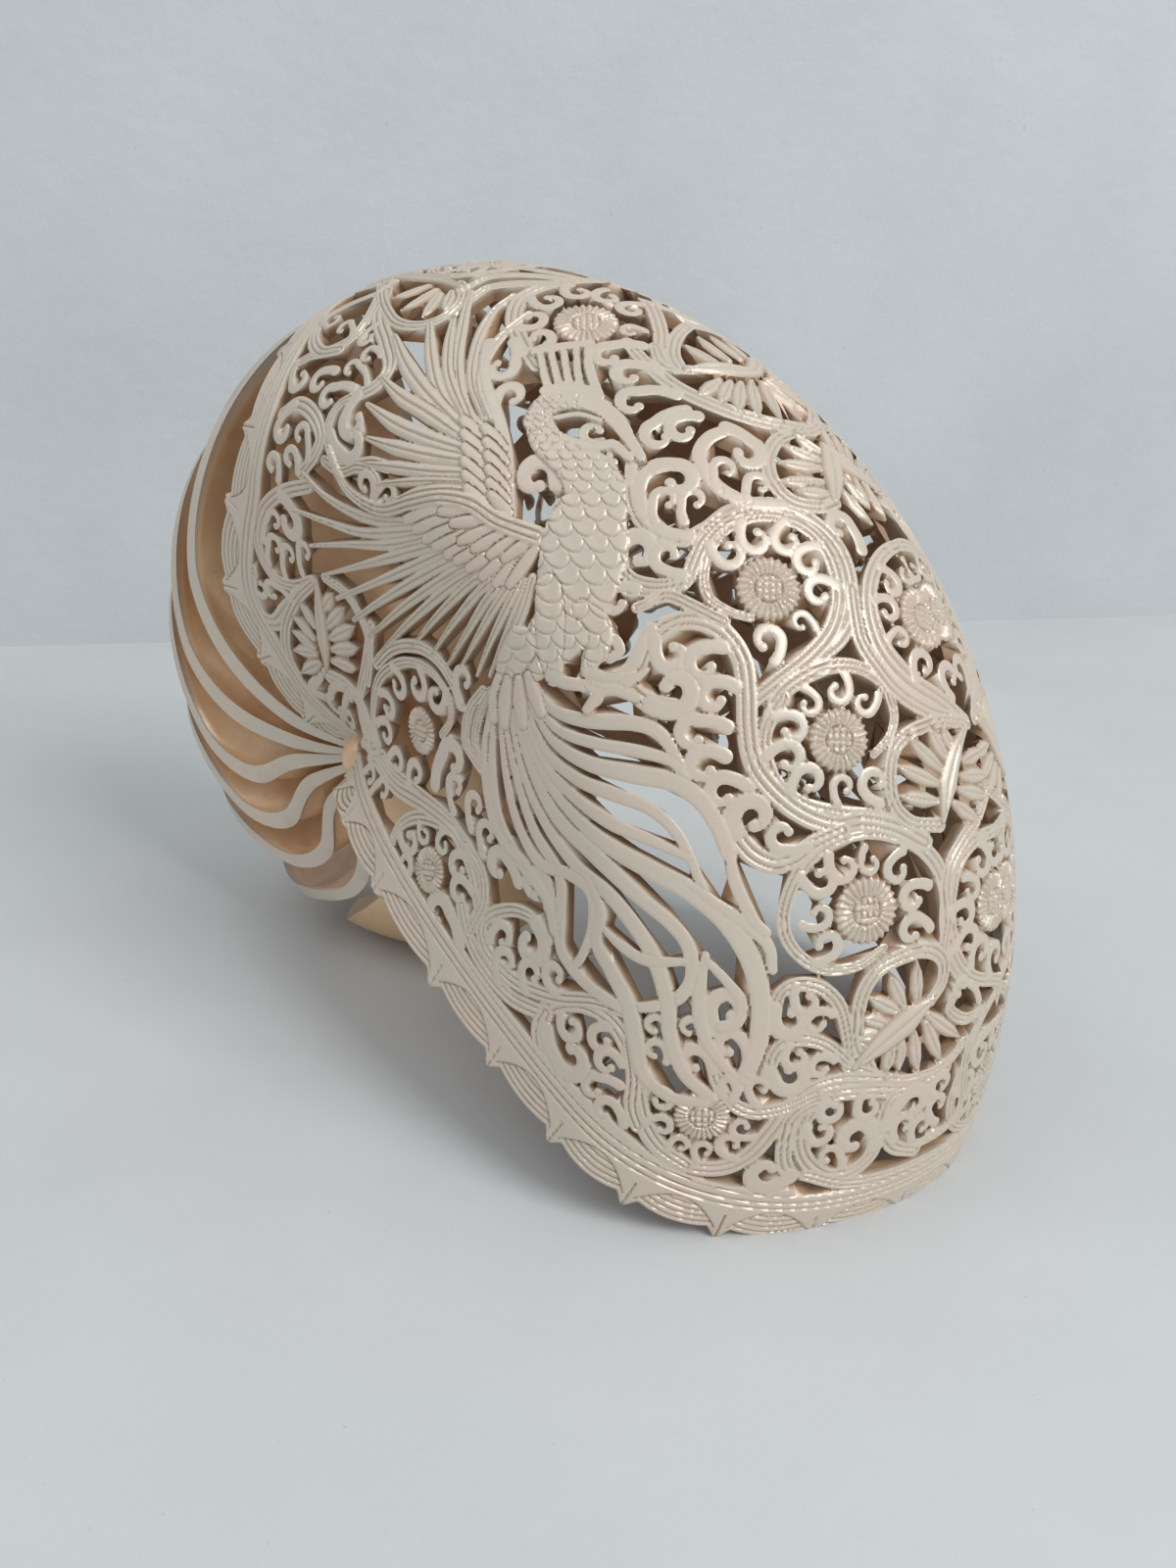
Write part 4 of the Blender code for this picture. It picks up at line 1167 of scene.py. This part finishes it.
def septum_piece(n, septum):
    """A septum as a fine dish."""
    girth = np.linspace(-168, 168, 133)[:, None]
    depth = (np.linspace(0, 1, 22) ** 1.7)[None, :]
    slimmer = np.clip((172 - np.abs(girth)) / SLIM_OVER, 0.4, 1)
    thick = SEPTUM_THICK + SEPTUM_EDGE * np.exp(-((depth / 0.035) ** 2)) * slimmer
    front, back = septum_faces(septum, girth, depth, thick)
    rows, columns = front.shape[:2]
    index = np.arange(rows * columns).reshape(rows, columns)
    quads = np.stack([index[:-1, :-1], index[:-1, 1:], index[1:, 1:], index[1:, :-1]], -1).reshape(-1, 4)
    ring = np.concatenate([index[0, :], index[1:, -1], index[-1, -2::-1], index[-2:0:-1, 0]])
    following = np.roll(ring, -1)
    skirt = np.column_stack([following, ring, ring + rows * columns, following + rows * columns])
    points = np.concatenate([front.reshape(-1, 3), back.reshape(-1, 3)]) * MM
    faces = np.concatenate([quads, quads[:, ::-1] + rows * columns, skirt])
    thing = make_mesh(f"septum_{n}", points, faces)
    set_depth(thing, np.tile(np.clip((depth + 0 * girth - 0.02) / 0.03, 0, 1).ravel(), 2))
    shade(thing, SHARP_FROM)
    return thing


def inner_whorl():
    """The closed whorl that runs on inside."""
    girth = np.linspace(-179.9, 179.9, 121)
    start = smooth_table(SUTURE_GIRTHS, CHAMBERED_FROM, np.minimum(np.abs(girth), 168))
    rings = []
    for share in np.linspace(0, 1, 90):
        angle = start * (1 - share) + (CHAMBERED_FROM[0] + INNER_TURN) * share
        rings.append(surface(angle, girth, JUST_WITHIN))
    for bulge, scale in ((0.5, 0.85), (0.8, 0.6), (0.5, 0.3)):
        rings.insert(0, surface(start + SEPTUM_BULGE * bulge, girth, scale))
    points = np.stack(rings)
    rows, columns = points.shape[:2]
    index = np.arange(rows * columns).reshape(rows, columns)
    right = np.roll(index, -1, axis=1)
    quads = np.stack([index[:-1], right[:-1], right[1:], index[1:]], -1).reshape(-1, 4)
    thing = make_mesh("inner_whorl", points.reshape(-1, 3) * MM, quads)
    set_depth(thing, np.full(len(thing.data.vertices), 0.5))
    shade(thing, 50)
    return thing


def core():
    """The core on the coiling axis, where the septa meet."""
    mesh = bmesh.new()
    profile = list(COLUMELLA) + [(-y, r) for y, r in reversed(COLUMELLA)]
    rings = []
    for y, r in profile:
        ring = []
        for n in range(CORE_SIDES):
            turn = 2 * math.pi * n / CORE_SIDES
            point = AXIS_PLACE + KEEL_RADIUS * np.array([r * math.cos(turn), y, r * math.sin(turn)])
            ring.append(mesh.verts.new(point * MM))
        rings.append(ring)
    for here, there in zip(rings, rings[1:]):
        for n in range(CORE_SIDES):
            m = (n + 1) % CORE_SIDES
            mesh.faces.new((here[n], here[m], there[m], there[n]))
    mesh.faces.new(rings[0][::-1])
    mesh.faces.new(rings[-1])
    bmesh.ops.recalc_face_normals(mesh, faces=mesh.faces)
    data = bpy.data.meshes.new("core")
    mesh.to_mesh(data)
    mesh.free()
    data.shade_smooth()
    thing = bpy.data.objects.new("core", data)
    set_depth(thing, np.full(len(data.vertices), 0.7))
    bpy.context.scene.collection.objects.link(thing)
    return thing


def noise(tree, scale, detail, roughness=0.5, distortion=0.0):
    """A noise texture on the object's own coordinates."""
    place = tree.nodes.new("ShaderNodeTexCoord")
    texture = tree.nodes.new("ShaderNodeTexNoise")
    texture.inputs["Scale"].default_value = scale
    texture.inputs["Detail"].default_value = detail
    texture.inputs["Roughness"].default_value = roughness
    texture.inputs["Distortion"].default_value = distortion
    tree.links.new(place.outputs["Object"], texture.inputs["Vector"])
    return texture.outputs["Fac"]


def ramp(tree, value, stops):
    """Colours between stops of (place, colour)."""
    node = tree.nodes.new("ShaderNodeValToRGB")
    for n, (at, colour) in enumerate(stops):
        element = node.color_ramp.elements[n] if n < 2 else node.color_ramp.elements.new(at)
        element.position = at
        element.color = (*colour, 1)
    tree.links.new(value, node.inputs["Fac"])
    return node.outputs["Color"]


def mixed(tree, share, first, second):
    """Two colours mixed by a share, each a socket or a plain value."""
    node = tree.nodes.new("ShaderNodeMix")
    node.data_type = "RGBA"
    for socket, value in ((node.inputs["Factor"], share), (node.inputs[6], first), (node.inputs[7], second)):
        if hasattr(value, "is_output"):
            tree.links.new(value, socket)
        elif isinstance(value, tuple):
            socket.default_value = (*value, 1)
        else:
            socket.default_value = value
    return node.outputs[2]


def between(tree, value, low, high, to_low=0.0, to_high=1.0):
    """A value carried from one range to another."""
    node = tree.nodes.new("ShaderNodeMapRange")
    node.inputs["From Min"].default_value = low
    node.inputs["From Max"].default_value = high
    node.inputs["To Min"].default_value = to_low
    node.inputs["To Max"].default_value = to_high
    tree.links.new(value, node.inputs["Value"])
    return node.outputs["Result"]


def add_bump(tree, height, strength, distance):
    """Fine relief on a material's surface, its distance in metres."""
    bump = tree.nodes.new("ShaderNodeBump")
    bump.inputs["Strength"].default_value = strength
    bump.inputs["Distance"].default_value = distance
    tree.links.new(height, bump.inputs["Height"])
    tree.links.new(bump.outputs["Normal"], tree.nodes["Principled BSDF"].inputs["Normal"])


# Colours: stops of a ramp, or one colour
PEARL = ((0.3, (0.66, 0.525, 0.43)), (0.5, (0.62, 0.525, 0.42)), (0.68, (0.60, 0.53, 0.43)))
MOTTLE = (0.60, 0.48, 0.37)
# The tan of the cut faces is painted shade and painted warm light through the shell
SHADED_CUT_FACE = (0.42, 0.27, 0.16)
# The warm brown inside the wall is painted shade and painted warm light through the shell
SHADED_INSIDE = ((0.35, (0.36, 0.20, 0.11)), (0.65, (0.46, 0.29, 0.17)))
SEPTUM_FACE = ((0.35, (0.64, 0.36, 0.18)), (0.65, (0.80, 0.53, 0.30)))


def shell_material(name, inside, cut_face):
    """Polished shell: pearly cream outside, a tan cut face and a warm inside, told apart by the depth; on the
    carved wall the last two are painted shade.
    """
    material = bpy.data.materials.new(name)
    material.use_nodes = True
    tree = material.node_tree
    shader = tree.nodes["Principled BSDF"]
    attribute = tree.nodes.new("ShaderNodeAttribute")
    attribute.attribute_name = "depth"
    depth = attribute.outputs["Fac"]
    outside = ramp(tree, noise(tree, scale=55, detail=3, roughness=0.6, distortion=1.2), PEARL)
    specks = noise(tree, scale=420, detail=5, roughness=0.6)
    outside = mixed(tree, between(tree, specks, 0.35, 0.7, to_high=0.22), outside, MOTTLE)
    within = ramp(tree, noise(tree, scale=90, detail=4, roughness=0.6), inside)
    # On the carved wall, painted shade: cut faces and deeper cut lines turn tan, the inside warm brown
    cut = mixed(tree, between(tree, depth, 0.08, 0.45), outside, cut_face)
    colour = mixed(tree, between(tree, depth, 0.6, 1.0), cut, within)
    tree.links.new(colour, shader.inputs["Base Color"])
    gloss = noise(tree, scale=700, detail=4, roughness=0.65)
    tree.links.new(between(tree, gloss, 0.3, 0.75, 0.27, 0.44), shader.inputs["Roughness"])
    shader.inputs["Specular IOR Level"].default_value = 0.75
    shader.inputs["Metallic"].default_value = 0.14
    add_bump(tree, noise(tree, scale=1100, detail=5, roughness=0.6), strength=0.12, distance=0.0004)
    return material


def add_camera():
    """The photograph's view."""
    data = bpy.data.cameras.new("camera")
    data.sensor_width = 36.0
    data.sensor_fit = "AUTO"
    data.lens = FOCAL_PIXELS * data.sensor_width / PHOTO[1]
    data.clip_start = 0.01
    camera = bpy.data.objects.new("camera", data)
    columns = np.column_stack([CAMERA_RIGHT, CAMERA_UP, CAMERA_BACK])
    matrix = Matrix(columns.tolist()).to_4x4()
    matrix.translation = Vector(CAMERA_PLACE * MM)
    camera.matrix_world = matrix
    bpy.context.scene.collection.objects.link(camera)
    bpy.context.scene.camera = camera


def on_floor(pixel):
    """Where the camera's ray through a pixel meets the floor."""
    ray = (CAMERA_RIGHT * (pixel[0] - PHOTO[0] / 2) + CAMERA_UP * (PHOTO[1] / 2 - pixel[1])) / FOCAL_PIXELS
    ray = ray - CAMERA_BACK
    return CAMERA_PLACE - ray * CAMERA_PLACE[2] / ray[2]


# The stage: pixels at the ends of the line where wall and floor meet, half the floor in millimetres, colours
WALL_FOOT = ((0, 660), (1200, 628))
FLOOR_SIZE = 1200.0
STAGE_SPECK = (0.32, 0.32, 0.31)
FLOOR_COLOURS = ((0.35, (0.58, 0.59, 0.58)), (0.65, (0.63, 0.64, 0.63)))
WALL_COLOURS = ((0.35, (0.53, 0.55, 0.55)), (0.65, (0.58, 0.60, 0.60)))


def stage_material(name, colours, grain, bump_distance):
    """Painted plaster with a faint grain."""
    material = bpy.data.materials.new(name)
    material.use_nodes = True
    tree = material.node_tree
    shader = tree.nodes["Principled BSDF"]
    colour = ramp(tree, noise(tree, scale=9, detail=4, roughness=0.6), colours)
    specks = between(tree, noise(tree, scale=grain, detail=2, roughness=0.5), 0.72, 0.8, to_high=0.35)
    tree.links.new(mixed(tree, specks, colour, STAGE_SPECK), shader.inputs["Base Color"])
    shader.inputs["Roughness"].default_value = 0.55
    add_bump(tree, noise(tree, scale=160, detail=4, roughness=0.6), strength=0.35, distance=bump_distance)
    return material


def clear_from_behind(material):
    """Lets views from behind the wall look through it."""
    tree = material.node_tree
    geometry = tree.nodes.new("ShaderNodeNewGeometry")
    clear = tree.nodes.new("ShaderNodeBsdfTransparent")
    mix = tree.nodes.new("ShaderNodeMixShader")
    tree.links.new(geometry.outputs["Backfacing"], mix.inputs[0])
    tree.links.new(tree.nodes["Principled BSDF"].outputs["BSDF"], mix.inputs[1])
    tree.links.new(clear.outputs["BSDF"], mix.inputs[2])
    tree.links.new(mix.outputs["Shader"], tree.nodes["Material Output"].inputs["Surface"])


def add_stage():
    """A plain pale floor and the foot of a plain wall behind it."""
    left, right = (on_floor(pixel) for pixel in WALL_FOOT)
    along = (right - left) / np.linalg.norm(right - left)
    toward = np.array([along[1], -along[0], 0.0])
    middle = (left + right) / 2
    up = np.array([0.0, 0.0, 1.0])
    ends = np.array([middle - along * FLOOR_SIZE, middle + along * FLOOR_SIZE])
    floor_corners = np.concatenate([ends - toward * FLOOR_SIZE, ends[::-1] + toward * FLOOR_SIZE])
    wall_corners = np.concatenate([ends, ends[::-1] + up * FLOOR_SIZE])
    floor_look = stage_material("floor", FLOOR_COLOURS, grain=900, bump_distance=0.0004)
    wall_look = stage_material("wall", WALL_COLOURS, grain=500, bump_distance=0.001)
    clear_from_behind(wall_look)
    for name, corners, look in (("floor", floor_corners, floor_look), ("wall", wall_corners, wall_look)):
        plane = make_mesh(name, corners * MM, np.array([[0, 1, 2, 3]]))
        plane.data.materials.append(look)


def area_light(name, azimuth, elevation, distance, size, energy, colour):
    """A soft light on the shell: direction in degrees (0 azimuth is -Y, 90 is +X), metres and watts."""
    data = bpy.data.lights.new(name, "AREA")
    data.energy = energy
    data.size = size
    data.color = colour
    light = bpy.data.objects.new(name, data)
    turn, rise = math.radians(azimuth), math.radians(elevation)
    way = Vector((math.sin(turn) * math.cos(rise), -math.cos(turn) * math.cos(rise), math.sin(rise)))
    aim = Vector(AXIS_PLACE * MM)
    light.location = aim + way * distance
    light.rotation_euler = way.to_track_quat("Z", "Y").to_euler()
    bpy.context.scene.collection.objects.link(light)


ROOM_COLOUR = (0.86, 0.93, 1.0)
ROOM_STRENGTH = 0.62
WINDOW_COLOUR = (0.98, 0.99, 1.0)
FILL_COLOUR = (0.97, 0.98, 1.0)


def add_light():
    """Soft daylight from a window at the right, over an even room."""
    world = bpy.data.worlds.new("studio")
    world.use_nodes = True
    background = world.node_tree.nodes["Background"]
    background.inputs["Color"].default_value = (*ROOM_COLOUR, 1)
    background.inputs["Strength"].default_value = ROOM_STRENGTH
    bpy.context.scene.world = world
    area_light("window", azimuth=84, elevation=42, distance=1.6, size=0.75, energy=14.0, colour=WINDOW_COLOUR)
    area_light("fill", azimuth=302, elevation=52, distance=1.0, size=0.8, energy=2.3, colour=FILL_COLOUR)
    bpy.context.scene.view_settings.view_transform = "Standard"


def dress():
    """Makes every visible piece."""
    carve()
    pieces = []
    ends = [int(COLUMNS * end) for end in PIECE_ENDS]
    for name, first, last in zip(("front", "middle", "back"), ends, ends[1:]):
        near = wall_piece(f"carved_{name}_near", (first, last))
        thin_out(near, NEAR_TRIANGLES)
        far = mirrored(near, f"carved_{name}_far")
        thin_out(far, FAR_TRIANGLES)
        pieces += [near, far]
    pieces += [septum_piece(n, septum) for n, septum in enumerate(SEPTA)]
    pieces += [inner_whorl(), core()]
    carved = shell_material("carved_shell", SHADED_INSIDE, SHADED_CUT_FACE)
    bare = shell_material("bare_septa", SEPTUM_FACE, SEPTUM_FACE[1][1])
    for piece in pieces:
        piece.data.materials.append(carved if piece.name.startswith("carved") else bare)
        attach(piece, "root")
        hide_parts("shell")


add_camera()
add_stage()
add_light()
dress()
